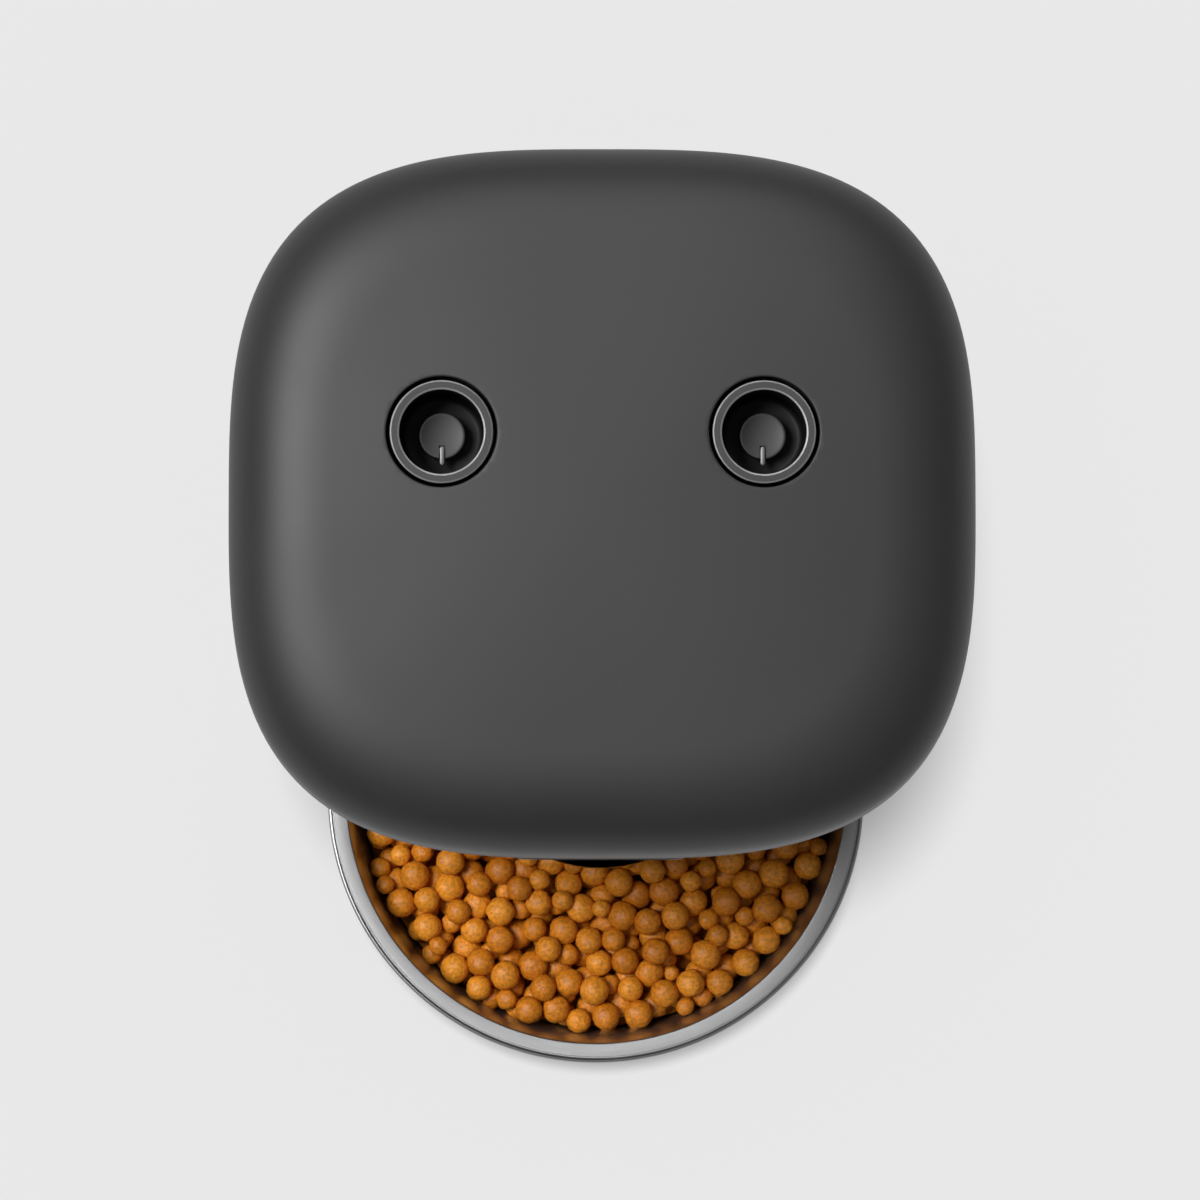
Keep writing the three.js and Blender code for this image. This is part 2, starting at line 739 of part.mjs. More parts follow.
// Chute from the pot's outlet, forwards and down through the head floor
const chuteDrop = 10;
const chuteWall = 2;
const chuteSideGap = 1;
const chuteBackGap = 4;
const chuteSlant = 20;
const chuteTaper = 2;
const chuteCorner = 3;
const chuteFlangeReach = 4;
const chuteFlangeThickness = 1.6;
const chuteTop = potFloorLow - fitGap;
const chuteBottom = headBottom - chuteDrop;
const chuteInlet = {
  halfWidth: outletOuterRadius * Math.sin(outletHalfAngle) + chuteSideGap,
  front: rotorY - potRadius,
  back: rotorY - outletInnerRadius + chuteBackGap,
};
const chuteOutlet = {
  halfWidth: chuteInlet.halfWidth - chuteTaper,
  front: chuteInlet.front - chuteSlant,
  back: chuteInlet.back - chuteSlant - chuteTaper,
};
const chuteCornerSteps = 3;

function chuteEdges(height, grow) {
  const share = (chuteTop - height) / (chuteTop - chuteBottom);
  return {
    halfWidth: THREE.MathUtils.lerp(chuteInlet.halfWidth, chuteOutlet.halfWidth, share) + grow,
    front: THREE.MathUtils.lerp(chuteInlet.front, chuteOutlet.front, share) - grow,
    back: THREE.MathUtils.lerp(chuteInlet.back, chuteOutlet.back, share) + grow,
  };
}

function chuteSection(height, grow) {
  const { halfWidth, front, back } = chuteEdges(height, grow);
  const radius = chuteCorner + grow;
  const corners = [
    [halfWidth - radius, back - radius, 0],
    [radius - halfWidth, back - radius, Math.PI / 2],
    [radius - halfWidth, front + radius, Math.PI],
    [halfWidth - radius, front + radius, (3 * Math.PI) / 2],
  ];
  return corners.flatMap(([x, y, start]) => Array.from({ length: chuteCornerSteps + 1 }, (_, i) => {
    const angle = start + ((Math.PI / 2) * i) / chuteCornerSteps;
    return new THREE.Vector3(x + radius * Math.cos(angle), y + radius * Math.sin(angle), height);
  }));
}

function chuteSolid(low, high, grow) {
  return lofted([chuteSection(low, grow), chuteSection(high, grow)]);
}

function headFloor() {
  const below = floorLow - overrun;
  const above = floorHigh + overrun;
  const cuts = [
    chuteSolid(below, above, chuteWall + fitGap),
    drum(motorBossRadius + fitGap, below, above).translate([motorX, motorY, 0]),
    bearing(shaftRadius, floorHigh - socketDepth, above).translate([0, rotorY, 0]),
    bearing(axleRadius, floorHigh - socketDepth, above).translate([idlerX, idlerY, 0]),
  ];
  const plate = bodySolid([[floorLow, shellWall + fitGap], [floorHigh, shellWall + fitGap]]);
  return cuts.reduce((floor, cut) => floor.subtract(cut), plate);
}

// Hopper: a lofted funnel from the squarish mouth to the round pot, hung by its flange. Its front
// wall keeps clear of the camera.
const hopperWall = 2.2;
const hopperSideGap = 17;
const cameraBayDepth = 28.4;
const neckHeight = 3;
const funnelShare = 0.46;
const mouthHalfWidth = bodyWidth / 2 - hopperSideGap;
const mouthFrontY = cameraFrontY + cameraBayDepth;
const mouthBackY = bodyCentreY + bodyDepth / 2 - hopperSideGap;
const mouthHalfDepth = (mouthBackY - mouthFrontY) / 2;
const mouthCentreY = (mouthBackY + mouthFrontY) / 2;
const hopperBottom = potTop + fitGap;
const neckTop = potTop + neckHeight;
const funnelTop = THREE.MathUtils.lerp(neckTop, hopperTop, funnelShare);
const hopperSteps = 24;

function hopperRings(grow, low, high) {
  const round = (height) => superellipse(potRadius + grow, potRadius + grow, 2, rotorY, height, hopperSteps);
  const square = (height) => (
    superellipse(mouthHalfWidth + grow, mouthHalfDepth + grow, cornerPower, mouthCentreY, height, hopperSteps)
  );
  return [round(low), round(neckTop), square(funnelTop), square(high)];
}

function hopper() {
  const flange = bodySolid([[flangeLow, shellWall + fitGap], [hopperTop, shellWall + fitGap]]);
  return lofted(hopperRings(hopperWall, hopperBottom, hopperTop))
    .add(flange)
    .subtract(lofted(hopperRings(0, hopperBottom - overrun, hopperTop + overrun)));
}

// A ring sector about the feeding axis, centred on the front.
function frontSector(innerRadius, outerRadius, halfAngle, low, high) {
  const middle = -Math.PI / 2;
  const shape = new THREE.Shape();
  shape.absarc(0, 0, outerRadius, middle - halfAngle, middle + halfAngle, false);
  shape.absarc(0, 0, innerRadius, middle + halfAngle, middle - halfAngle, true);
  return extruded(shape, low, high, smallSteps / 2).translate([0, rotorY, 0]);
}

function meteringPot() {
  const boreRadius = shaftRadius + fitGap;
  const cup = turned([
    [boreRadius, potFloorLow],
    [potRadius + potWall, potFloorLow],
    [potRadius + potWall, potTop],
    [potRadius, potTop],
    [potRadius, potFloorHigh],
    [boreRadius, potFloorHigh],
    [boreRadius, potFloorLow],
  ], outlineSteps).translate([0, rotorY, 0]);
  const below = potFloorLow - overrun;
  const above = potFloorHigh + overrun;
  return cup.subtract(frontSector(outletInnerRadius, outletOuterRadius, outletHalfAngle, below, above));
}

const hoodHalfAngle = (42 * Math.PI) / 180;
const hoodInnerRadius = 15;

function meteringHood() {
  const plate = frontSector(hoodInnerRadius, potRadius - 2 * fitGap, hoodHalfAngle, hoodLow, hoodHigh);
  const slope = turned([
    [hoodInnerRadius + hoodThickness, hoodHigh],
    [hoodInnerRadius - overrun, hoodLow],
    [hoodInnerRadius - overrun, hoodHigh + overrun],
    [hoodInnerRadius + hoodThickness + overrun, hoodHigh + overrun],
    [hoodInnerRadius + hoodThickness, hoodHigh],
  ]).translate([0, rotorY, 0]);
  return plate.subtract(slope);
}

function spokes(count, inner, outer, halfThickness, low, high) {
  const bar = block([inner, outer], [-halfThickness, halfThickness], [low, high]);
  const turn = 360 / count;
  let all = bar;
  for (let i = 1; i < count; i += 1) {
    all = all.add(bar.rotate([0, 0, turn * i]));
  }
  return all;
}

// Six-vane rotor, and the stirrer above it
const hubRadius = 10;
const vaneCount = 6;
const vaneThickness = 2.4;

function impeller() {
  const hub = drum(hubRadius, rotorLow, rotorHigh);
  const vanes = spokes(vaneCount, hubRadius / 2, potRadius - vaneGap, vaneThickness / 2, rotorLow, rotorHigh);
  const bore = drum(shaftRadius + fitGap, rotorLow - overrun, rotorHigh + overrun);
  return hub.add(vanes).subtract(bore);
}

const stirrerCount = 3;
const stirrerHubRadius = 8;
const stirrerReach = 40;
const stirrerBar = 3.4;
const stirrerBarHeight = 3.6;
const stirrerHoodGap = 1;
const stirrerCapHeight = 2;
const stirrerPegHeight = 12;
const stirrerLow = rotorHigh + fitGap;
const stirrerBarLow = hoodHigh + stirrerHoodGap;
const stirrerBarHigh = stirrerBarLow + stirrerBarHeight;

function stirrer() {
  const hub = turned([
    [0, stirrerBarHigh + stirrerCapHeight],
    [0, stirrerLow],
    [stirrerHubRadius, stirrerLow],
    [stirrerHubRadius, stirrerBarHigh],
    [stirrerHubRadius / 2, stirrerBarHigh + stirrerCapHeight],
    [0, stirrerBarHigh + stirrerCapHeight],
  ], smallSteps);
  const half = stirrerBar / 2;
  const bars = spokes(stirrerCount, stirrerHubRadius / 2, stirrerReach, half, stirrerBarLow, stirrerBarHigh);
  const pegHigh = stirrerBarHigh + stirrerPegHeight;
  const pegs = spokes(stirrerCount, stirrerReach - stirrerBar, stirrerReach, half, stirrerBarLow, pegHigh);
  const bore = drum(shaftRadius + fitGap, stirrerLow - overrun, shaftTop + fitGap);
  return hub.add(bars).add(pegs).subtract(bore);
}

// Involute gears: points where each flank leaves the root, crosses the pitch circle and meets the tip
const pressureAngle = (25 * Math.PI) / 180;
const tipShare = 0.9;
const rootShare = 1.25;
const toothSlack = 0.16;
const flankShares = [0, 1];
const halfTurn = Math.PI;

function involute(angle) {
  return Math.tan(angle) - angle;
}

function gearShape(teeth, size, phase, slack) {
  const pitchRadius = (teeth * size) / 2;
  const baseRadius = pitchRadius * Math.cos(pressureAngle);
  const rootRadius = pitchRadius - rootShare * size;
  const tipRadius = pitchRadius + tipShare * size;
  const halfTooth = Math.PI / (2 * teeth) - slack / (2 * pitchRadius);
  const flankStart = Math.max(rootRadius, baseRadius);
  const halfAtBase = halfTooth + involute(pressureAngle);
  const halfAngleAt = (radius) => halfAtBase - involute(Math.acos(baseRadius / radius));
  const flank = flankShares.map((share) => {
    const radius = THREE.MathUtils.lerp(flankStart, tipRadius, share);
    return [share === 0 ? rootRadius : radius, halfAngleAt(radius)];
  });
  const points = [];
  for (let tooth = 0; tooth < teeth; tooth += 1) {
    const middle = phase + (2 * Math.PI * tooth) / teeth;
    const rising = flank.map(([radius, half]) => [radius, middle - half]);
    const falling = flank.map(([radius, half]) => [radius, middle + half]).reverse();
    [...rising, ...falling].forEach(([radius, angle]) => {
      points.push(new THREE.Vector2(radius * Math.cos(angle), radius * Math.sin(angle)));
    });
  }
  return new THREE.Shape(points);
}

function gear(teeth, size, phase, low, high, slack = toothSlack) {
  return extruded(gearShape(teeth, size, phase, slack), low, high);
}

const gearHubRadius = 8;

function driveGear() {
  const bore = drum(shaftRadius + fitGap, upperGearLow - overrun, gearPlateLow + overrun);
  return gear(driveTeeth, toothSize, idlerBearing, upperGearLow, upperGearHigh)
    .add(drum(gearHubRadius, upperGearLow, gearPlateLow - fitGap))
    .subtract(bore);
}

function idlerGear() {
  const wheel = gear(idlerTeeth, toothSize, motorBearing, lowerGearLow, lowerGearHigh);
  const smallPhase = idlerBearing + halfTurn + Math.PI / pinionTeeth;
  const pinion = gear(pinionTeeth, toothSize, smallPhase, lowerGearLow, gearPlateLow - fitGap);
  const bore = bearing(axleRadius, lowerGearLow - overrun, gearPlateLow + overrun);
  return wheel.add(pinion).subtract(bore);
}

const motorShaftDrop = 8.7;
const motorShaftLow = floorLow - motorShaftDrop;

function motorPinion() {
  const phase = motorBearing + halfTurn + Math.PI / pinionTeeth;
  return gear(pinionTeeth, toothSize, phase, lowerGearLow, lowerGearHigh)
    .add(drum(motorShaftRadius, motorShaftLow, lowerGearLow + overrun));
}

// Motor: a can with a flange screwed under the head floor and a boss through it
const motorLength = 31.7;
const motorEndRadius = 4;
const motorEndHeight = 2.5;
const motorFlangeThickness = 1.6;
const motorFlangeHalfWidth = 19;
const motorFlangeHalfDepth = 8;
const motorEdge = 1.2;
const motorCanLow = floorLow - motorLength;
const motorFlangeHigh = floorLow - fitGap;
const motorFlangeLow = motorFlangeHigh - motorFlangeThickness;

function motor() {
  const can = turned([
    [0, motorCanLow - motorEndHeight],
    [motorEndRadius, motorCanLow - motorEndHeight],
    [motorEndRadius, motorCanLow],
    [motorCanRadius - motorEdge, motorCanLow],
    [motorCanRadius, motorCanLow + motorEdge],
    [motorCanRadius, motorFlangeLow + motorEdge],
    [motorBossRadius, motorFlangeLow + motorEdge],
    [motorBossRadius, floorHigh + fitGap],
    [0, floorHigh + fitGap],
  ], smallSteps);
  const flange = block(
    [-motorFlangeHalfWidth, motorFlangeHalfWidth],
    [-motorFlangeHalfDepth, motorFlangeHalfDepth],
    [motorFlangeLow, motorFlangeHigh],
  );
  const bore = drum(motorShaftRadius + fitGap, motorShaftLow - fitGap, floorHigh + overrun * 2);
  return can.add(flange).subtract(bore);
}

// Gear plate: the upper bearing plate on four posts, which also carries the pot. Its corners lie
// at shares of the drive's centre distance from the feeding axis.
const postRadius = 3.2;
const postSides = 8;
const plateRim = 3;
const postShares = [[-1.11, 0.51], [1.45, 0.17], [-0.43, 1.37], [0.98, 1.88]];
const plateFrontShares = [[-0.68, -0.39], [0.68, -0.39]];
const fromAxis = ([across, along]) => [across * driveDistance, rotorY + along * driveDistance];

function gearPlate() {
  const corners = [...postShares, ...plateFrontShares].map(fromAxis).flatMap(([x, y]) => (
    Array.from({ length: postSides }, (_, i) => {
      const angle = (2 * Math.PI * i) / postSides;
      return [x + (postRadius + plateRim) * Math.cos(angle), y + (postRadius + plateRim) * Math.sin(angle)];
    })
  ));
  const points = [gearPlateLow, gearPlateHigh].flatMap((height) => (
    corners.map(([x, y]) => new THREE.Vector3(x, y, height))
  ));
  const shaftBore = bearing(shaftRadius, gearPlateLow - overrun, gearPlateHigh + overrun);
  const axleSocket = bearing(axleRadius, gearPlateLow - overrun, gearPlateLow + socketDepth);
  let plate = toSolid(new ConvexGeometry(points))
    .subtract(shaftBore.translate([0, rotorY, 0]))
    .subtract(axleSocket.translate([idlerX, idlerY, 0]));
  postShares.map(fromAxis).forEach(([x, y]) => {
    const post = drum(postRadius, floorHigh + fitGap, (gearPlateLow + gearPlateHigh) / 2, postSides);
    plate = plate.add(post.translate([x, y, 0]));
  });
  return plate;
}

// Flap under the chute: it hangs on a pin between two ears of the chute
const pinRadius = 1;
const knuckleRadius = 2.6;
const flapThickness = 1.8;
const flapEarGap = 1;
const flapNeckLap = 1;
const earThickness = 2.6;
const flapHalfWidth = chuteOutlet.halfWidth + chuteWall;
const knuckleHalfWidth = chuteOutlet.halfWidth - coverGap;
const pinY = chuteOutlet.back + chuteWall + knuckleRadius + 2 * fitGap;
const pinHeight = chuteBottom - flapThickness / 2 - 2 * fitGap;
const earFrontY = chuteOutlet.back - chuteWall;
const earBackY = pinY + knuckleRadius;
const earInnerX = knuckleHalfWidth + fitGap;

function chute() {
  const atFloor = chuteEdges(floorHigh, chuteWall);
  const flangeHalfWidth = chuteInlet.halfWidth + chuteWall + chuteFlangeReach;
  const flangeBottom = floorHigh + fitGap;
  const flange = block(
    [-flangeHalfWidth, flangeHalfWidth],
    [atFloor.front + chuteWall, atFloor.back + chuteFlangeReach / 2],
    [flangeBottom, flangeBottom + chuteFlangeThickness],
  );
  let body = chuteSolid(chuteBottom, chuteTop, chuteWall).add(flange);
  [[-earInnerX - earThickness, -earInnerX], [earInnerX, earInnerX + earThickness]].forEach((x) => {
    body = body.add(block(x, [earFrontY, earBackY], [pinHeight - knuckleRadius, floorLow - 2 * fitGap]));
  });
  const pinHole = alongX(drum(pinRadius + fitGap, -flangeHalfWidth, flangeHalfWidth))
    .translate([0, pinY, pinHeight]);
  return body
    .subtract(chuteSolid(chuteBottom - overrun, chuteTop + overrun, 0))
    .subtract(pinHole);
}

function flapPin() {
  const reach = earInnerX + earThickness;
  return alongX(drum(pinRadius, -reach, reach)).translate([0, pinY, pinHeight]);
}

function chuteFlap() {
  const heights = [pinHeight - flapThickness / 2, pinHeight + flapThickness / 2];
  const wideBackY = earFrontY - flapEarGap;
  const wide = block([-flapHalfWidth, flapHalfWidth], [chuteOutlet.front - chuteWall, wideBackY], heights);
  const neck = block([-knuckleHalfWidth, knuckleHalfWidth], [wideBackY - flapNeckLap, pinY], heights);
  const onPin = (radius, reach) => alongX(drum(radius, -reach, reach)).translate([0, pinY, pinHeight]);
  const knuckle = onPin(knuckleRadius, knuckleHalfWidth);
  return wide.add(neck).add(knuckle).subtract(onPin(pinRadius + fitGap, flapHalfWidth));
}

// Camera: bezel ring, domed window, lens barrel with its mask, and board; depths run inwards
const windowSphere = 40;
const windowWall = 1.6;
const windowProud = 3.4;
const windowRimDepth = windowSphere - Math.sqrt(windowSphere ** 2 - windowRadius ** 2) - windowProud;
const bezelFlangeReach = 1.9;
const bezelFlangeThickness = 0.7;
const bezelFlangeRadius = bezelRadius + bezelFlangeReach;
const domeSteps = 3;
const maskGap = 2.6;
const maskThickness = 1.2;
const maskFront = windowRimDepth + maskGap;
const maskBack = maskFront + maskThickness;
const lensRadius = 7.5;
const lensBaseRadius = 10;
const lensFront = 0.6;
const lensHollow = 1.4;
const lensBack = 14;
const cameraBoardHalfWidth = 20;
const cameraBoardHalfHeight = 15;

function cameraBezel() {
  const inner = windowRadius + fitGap;
  return alongY(turned([
    [inner, -bezelFlangeThickness],
    [bezelFlangeRadius - bezelFlangeThickness, -bezelFlangeThickness],
    [bezelFlangeRadius, -fitGap],
    [bezelRadius, -fitGap],
    [bezelRadius, maskBack],
    [inner, maskBack],
    [inner, -bezelFlangeThickness],
  ]));
}

function domeArc(sphereRadius, rimRadius) {
  const rimAngle = Math.asin(rimRadius / sphereRadius);
  return Array.from({ length: domeSteps + 1 }, (_, i) => {
    const angle = (rimAngle * i) / domeSteps;
    return [sphereRadius * Math.sin(angle), windowSphere - windowProud - sphereRadius * Math.cos(angle)];
  });
}

function cameraWindow() {
  const outer = domeArc(windowSphere, windowRadius);
  const inner = domeArc(windowSphere - windowWall, windowRadius - windowWall).reverse();
  return alongY(turned([...outer, ...inner]));
}

function cameraLens() {
  return alongY(turned([
    [0, lensFront + lensHollow],
    [lensRadius, lensFront],
    [lensRadius, maskFront],
    [windowRadius, maskFront],
    [windowRadius, maskBack],
    [lensBaseRadius, maskBack],
    [lensBaseRadius, lensBack],
    [0, lensBack],
  ]));
}

function cameraBoard() {
  return block(
    [-cameraBoardHalfWidth, cameraBoardHalfWidth],
    [lensBack + fitGap, lensBack + fitGap + boardThickness],
    [-cameraBoardHalfHeight, cameraBoardHalfHeight],
  );
}

function addCamera() {
  const camera = new THREE.Group();
  camera.position.set(0, cameraFrontY, cameraHeight);
  camera.rotation.x = cameraTilt;
  feeder.add(camera);
  addPart('camera_bezel', cameraBezel(), graphite, camera);
  addPart('camera_window', cameraWindow(), glossBlack, camera);
  addPart('camera_lens', cameraLens(), innerBlack, camera);
  addPart('camera_board', cameraBoard(), boardGreen, camera);
}

// Feed button, speaker with its grille, and status light
const buttonProud = 0.6;
const buttonFlangeReach = 1.8;
const buttonFlangeThickness = 1.4;
const buttonEdge = 0.7;
const grilleSlots = 5;
const slotHalfWidth = 0.9;
const slotHalfHeight = 5;
const insertRecess = 0.2;
const speakerRadius = 15;
const speakerMagnetRadius = 8;
const speakerDepth = 9;
const speakerRim = 2;
const lightDepth = 5;

function feedButton() {
  const flangeFront = shellWall + 2 * fitGap;
  const flangeBack = flangeFront + buttonFlangeThickness;
  return alongY(turned([
    [0, -buttonProud + fitGap],
    [buttonRadius / 2, -buttonProud + fitGap / 2],
    [buttonRadius - buttonEdge, -buttonProud],
    [buttonRadius, -buttonProud + buttonEdge],
    [buttonRadius, flangeFront],
    [buttonRadius + buttonFlangeReach, flangeFront],
    [buttonRadius + buttonFlangeReach, flangeBack],
    [0, flangeBack],
  ])).translate([0, controlsFrontY, controlsHeight]);
}

function frontInsert(centreX, halfWidth, halfHeight, wall) {
  const low = controlsHeight - halfHeight;
  const high = controlsHeight + halfHeight;
  return bodySolid([[low - overrun, insertRecess], [high + overrun, insertRecess]])
    .subtract(bodySolid([[low - overrun * 2, wall], [high + overrun * 2, wall]]))
    .intersect(frontWindow(centreX, halfWidth, halfHeight));
}

function speakerGrille() {
  let grille = frontInsert(grilleCentreX, grilleHalfWidth, grilleHalfHeight, shellWall);
  const pitch = (2 * grilleHalfWidth) / (grilleSlots + 1);
  for (let i = 1; i <= grilleSlots; i += 1) {
    const slotX = grilleCentreX - grilleHalfWidth + pitch * i;
    grille = grille.subtract(block(
      [slotX - slotHalfWidth, slotX + slotHalfWidth],
      [bodyCentreY - bodyDepth, bodyCentreY],
      [controlsHeight - slotHalfHeight, controlsHeight + slotHalfHeight],
    ));
  }
  return grille;
}

function speaker() {
  const front = wallInsideY(grilleCentreX - speakerRadius, controlsHeight - speakerRadius, -1) + 2 * fitGap;
  return alongY(turned([
    [0, speakerRim],
    [speakerMagnetRadius, speakerRim * 1.5],
    [speakerRadius - speakerRim, 0],
    [speakerRadius, 0],
    [speakerRadius, speakerRim],
    [speakerMagnetRadius, speakerDepth / 2],
    [speakerMagnetRadius, speakerDepth],
    [0, speakerDepth],
  ], smallSteps)).translate([grilleCentreX, front, controlsHeight]);
}

function statusLight() {
  return frontInsert(lightCentreX, lightHalfWidth, lightHalfHeight, lightDepth);
}

// Lid: a pillow shell over an inner pan; the pan's plug drops into the head
const lidRoundWidth = 30;
const lidRoundPower = 2.6;
const lidEdgeInset = 0.4;
const lidRoundSteps = 5;
const lidUnderSteps = 3;
const lidTopShares = [0.6, 0.2];
const lidUnderShares = [0.4];
const wellTubeHigh = overallHeight - lidDome / 2;
const lipInset = 3.3;
const lipWall = 1.8;
const lipDepth = 4.5;
const lipLow = partingHeight - lipDepth;
const sealThickness = 0.9;
const panLow = hopperTop + sealThickness + 2 * fitGap;
const panFloor = 2;
const panFloorHigh = panLow + panFloor;
const panFlangeDrop = 2;
const panFlangeHigh = partingHeight - panFlangeDrop;
const panFlangeThickness = 2.2;
const panFlangeLow = panFlangeHigh - panFlangeThickness;
const panLedgeReach = 1.9;

// Lid crown at a distance inside the widest outline.
function lidCrown(distance) {
  const share = Math.min(1, distance / (bodyWidth / 2));
  return lidDome * (1 - (1 - share) ** 2);
}

// Rings of the pillow, moved in and down by a wall thickness for the underside.
function pillowRings(wall, steps, shares) {
  const halfWidth = bodyWidth / 2 - wall;
  const halfDepth = bodyDepth / 2 - wall;
  const roundTop = partingHeight + lidWallHeight + lidRoundHeight - wall;
  const rings = [];
  for (let i = 0; i <= steps; i += 1) {
    const across = Math.cos((Math.PI * i) / (2 * steps));
    const up = Math.sin((Math.PI * i) / (2 * steps));
    const reach = (across ** lidRoundPower + up ** lidRoundPower) ** (-1 / lidRoundPower);
    const distance = lidEdgeInset + (lidRoundWidth - wall) * (1 - reach * across);
    const height = roundTop - (lidRoundHeight - wall) * (1 - reach * up) + lidCrown(distance);
    rings.push(superellipse(halfWidth - distance, halfDepth - distance, cornerPower, bodyCentreY, height));
  }
  const inset = lidEdgeInset + lidRoundWidth - wall;
  shares.forEach((share) => {
    const distance = inset + (halfWidth - inset) * (1 - share);
    const width = (halfWidth - inset) * share;
    const depth = (halfDepth - inset) * share;
    rings.push(superellipse(width, depth, cornerPower, bodyCentreY, roundTop + lidCrown(distance)));
  });
  return rings;
}

// Twist locks: one in each well of the lid
const lockX = 44.7;
const lockBehindCentre = 17.7;
const lockY = bodyCentreY + lockBehindCentre;
const wellRadius = 15.4;
const wellWall = 2.4;
const wellDepth = 26;
const wellFloorThickness = 2;
const wellFloorHigh = overallHeight - wellDepth;
const lockShaftRadius = 3.6;
const locks = [
  { side: 'left', sign: -1 },
  { side: 'right', sign: 1 },
];

function lidShell() {
  const outside = lofted([bodyRing(partingHeight, 0), ...pillowRings(0, lidRoundSteps, lidTopShares)]);
  const lip = bodySolid([[lipLow, lipInset], [partingHeight + overrun, lipInset]]);
  const ledgeLow = panFlangeHigh + fitGap;
  const inside = lofted([
    bodyRing(lipLow - overrun, lipInset + lipWall),
    bodyRing(ledgeLow, lipInset + lipWall),
    bodyRing(ledgeLow, lipInset + lipWall + panLedgeReach),
    bodyRing(ledgeLow + 2 * panLedgeReach + lipWall, shellWall),
    ...pillowRings(shellWall, lidUnderSteps, lidUnderShares),
  ]);
  const shell = outside.add(lip).subtract(inside);
  const tubeLow = wellFloorHigh - wellFloorThickness;
  const above = overallHeight + overrun;
  return locks.reduce((whole, { sign }) => {
    const place = [sign * lockX, lockY, 0];
    const tube = drum(wellRadius + wellWall, tubeLow, wellTubeHigh, roundSteps);
    const well = drum(wellRadius, wellFloorHigh, above, roundSteps);
    const hole = drum(lockShaftRadius + 2 * fitGap, tubeLow - overrun, above);
    return whole.add(tube.translate(place)).subtract(well.translate(place)).subtract(hole.translate(place));
  }, shell);
}

// Lock bolts: a rack on each is driven by the pinion of its lock, whose teeth it shares
const panInset = 11;
const panWall = 2;
const lockToothSize = 0.84;
const lockTeeth = 10;
const lockSlack = 0.24;
const lockPitch = Math.PI * lockToothSize;
const lockPitchRadius = (lockToothSize * lockTeeth) / 2;
const rackTipShare = 0.6;
const rackTeethAhead = 2;
const rackTeethBehind = 4;
const boltTravel = (lockPitchRadius * Math.PI) / 2;
const rackLineY = lockY - lockPitchRadius;
const boltWidth = 6.6;
const boltThickness = 5.2;
const boltLow = panFloorHigh + fitGap;
const boltHigh = boltLow + boltThickness;
const boltBackY = rackLineY - rootShare * lockToothSize;
const boltFrontY = boltBackY - boltWidth;
const boltInnerX = lockX - lockPitch * (rackTeethBehind + 1.5);
const boltTipX = bodyWidth / 2 - panInset;
const boltGuideWall = 1.6;
const boltGuideHeight = 3.4;
const boltGuideHigh = boltLow + boltGuideHeight;
const guideToothGap = 0.4;
const backGuideX = lockX + lockPitch * rackTeethAhead + boltTravel + guideToothGap;
const guideEndX = boltTipX - panWall - overrun;
const stubRadius = 2.6;
const stubLow = panLow + fitGap;
const pinionOverhang = 0.3;

// Canister for desiccant between the bolts, hung from the pan
const canisterGap = 0.2;
const canisterFlangeReach = 3;
const canisterFlangeThickness = 1.8;
const canisterWall = 2;
const canisterHeight = 19.3;
const canisterFlangeRadius = boltInnerX - canisterGap;
const canisterRadius = canisterFlangeRadius - canisterFlangeReach;
const canisterTop = panFloorHigh + fitGap;
const canisterLow = canisterTop - canisterHeight;

function lidPan() {
  const flangeInset = lipInset + lipWall + fitGap;
  const outside = bodySolid([[panLow, panInset], [panFlangeHigh, panInset]])
    .add(bodySolid([[panFlangeLow, flangeInset], [panFlangeHigh, flangeInset]]));
  const innerInset = panInset + panWall;
  const inside = bodySolid([[panFloorHigh, innerInset], [panFlangeHigh + overrun, innerInset]]);
  let pan = outside.subtract(inside);
  const guideHeights = [panLow + panFloor / 2, boltGuideHigh];
  locks.forEach(({ sign }) => {
    const span = (from, to) => (sign > 0 ? [from, to] : [-to, -from]);
    const frontFace = boltFrontY - fitGap;
    const backFace = boltBackY + fitGap;
    const frontDepths = [frontFace - boltGuideWall, frontFace];
    const backDepths = [backFace, backFace + boltGuideWall];
    const holeHeights = [panFloorHigh, boltHigh + fitGap];
    const frontGuide = block(span(boltInnerX, guideEndX), frontDepths, guideHeights);
    const backGuide = block(span(backGuideX, guideEndX), backDepths, guideHeights);
    const boltHole = block(span(guideEndX, bodyWidth / 2), [frontFace, backFace], holeHeights);
    const stubHole = bearing(stubRadius, panLow - overrun, panFloorHigh + overrun)
      .translate([sign * lockX, lockY, 0]);
    pan = pan.add(frontGuide).add(backGuide).subtract(boltHole).subtract(stubHole);
  });
  const canisterHole = drum(canisterRadius + fitGap, panLow - overrun, panFloorHigh + overrun, roundSteps);
  return pan.subtract(canisterHole.translate([0, bodyCentreY, 0]));
}

const sealWidth = 3.5;
const sealSetIn = 1;

function lidSeal() {
  const low = hopperTop + fitGap;
  const high = panLow - fitGap;
  const outer = panInset + sealSetIn;
  const inner = outer + sealWidth;
  return bodySolid([[low, outer], [high, outer]], hopperSteps)
    .subtract(bodySolid([[low - overrun, inner], [high + overrun, inner]], hopperSteps));
}

function desiccantBox() {
  return turned([
    [0, canisterTop],
    [canisterRadius - canisterWall, canisterTop],
    [canisterRadius - canisterWall, canisterLow],
    [canisterRadius, canisterLow],
    [canisterRadius, canisterTop],
    [canisterFlangeRadius, canisterTop],
    [canisterFlangeRadius, canisterTop + canisterFlangeThickness],
    [0, canisterTop + canisterFlangeThickness],
  ]).translate([0, bodyCentreY, 0]);
}

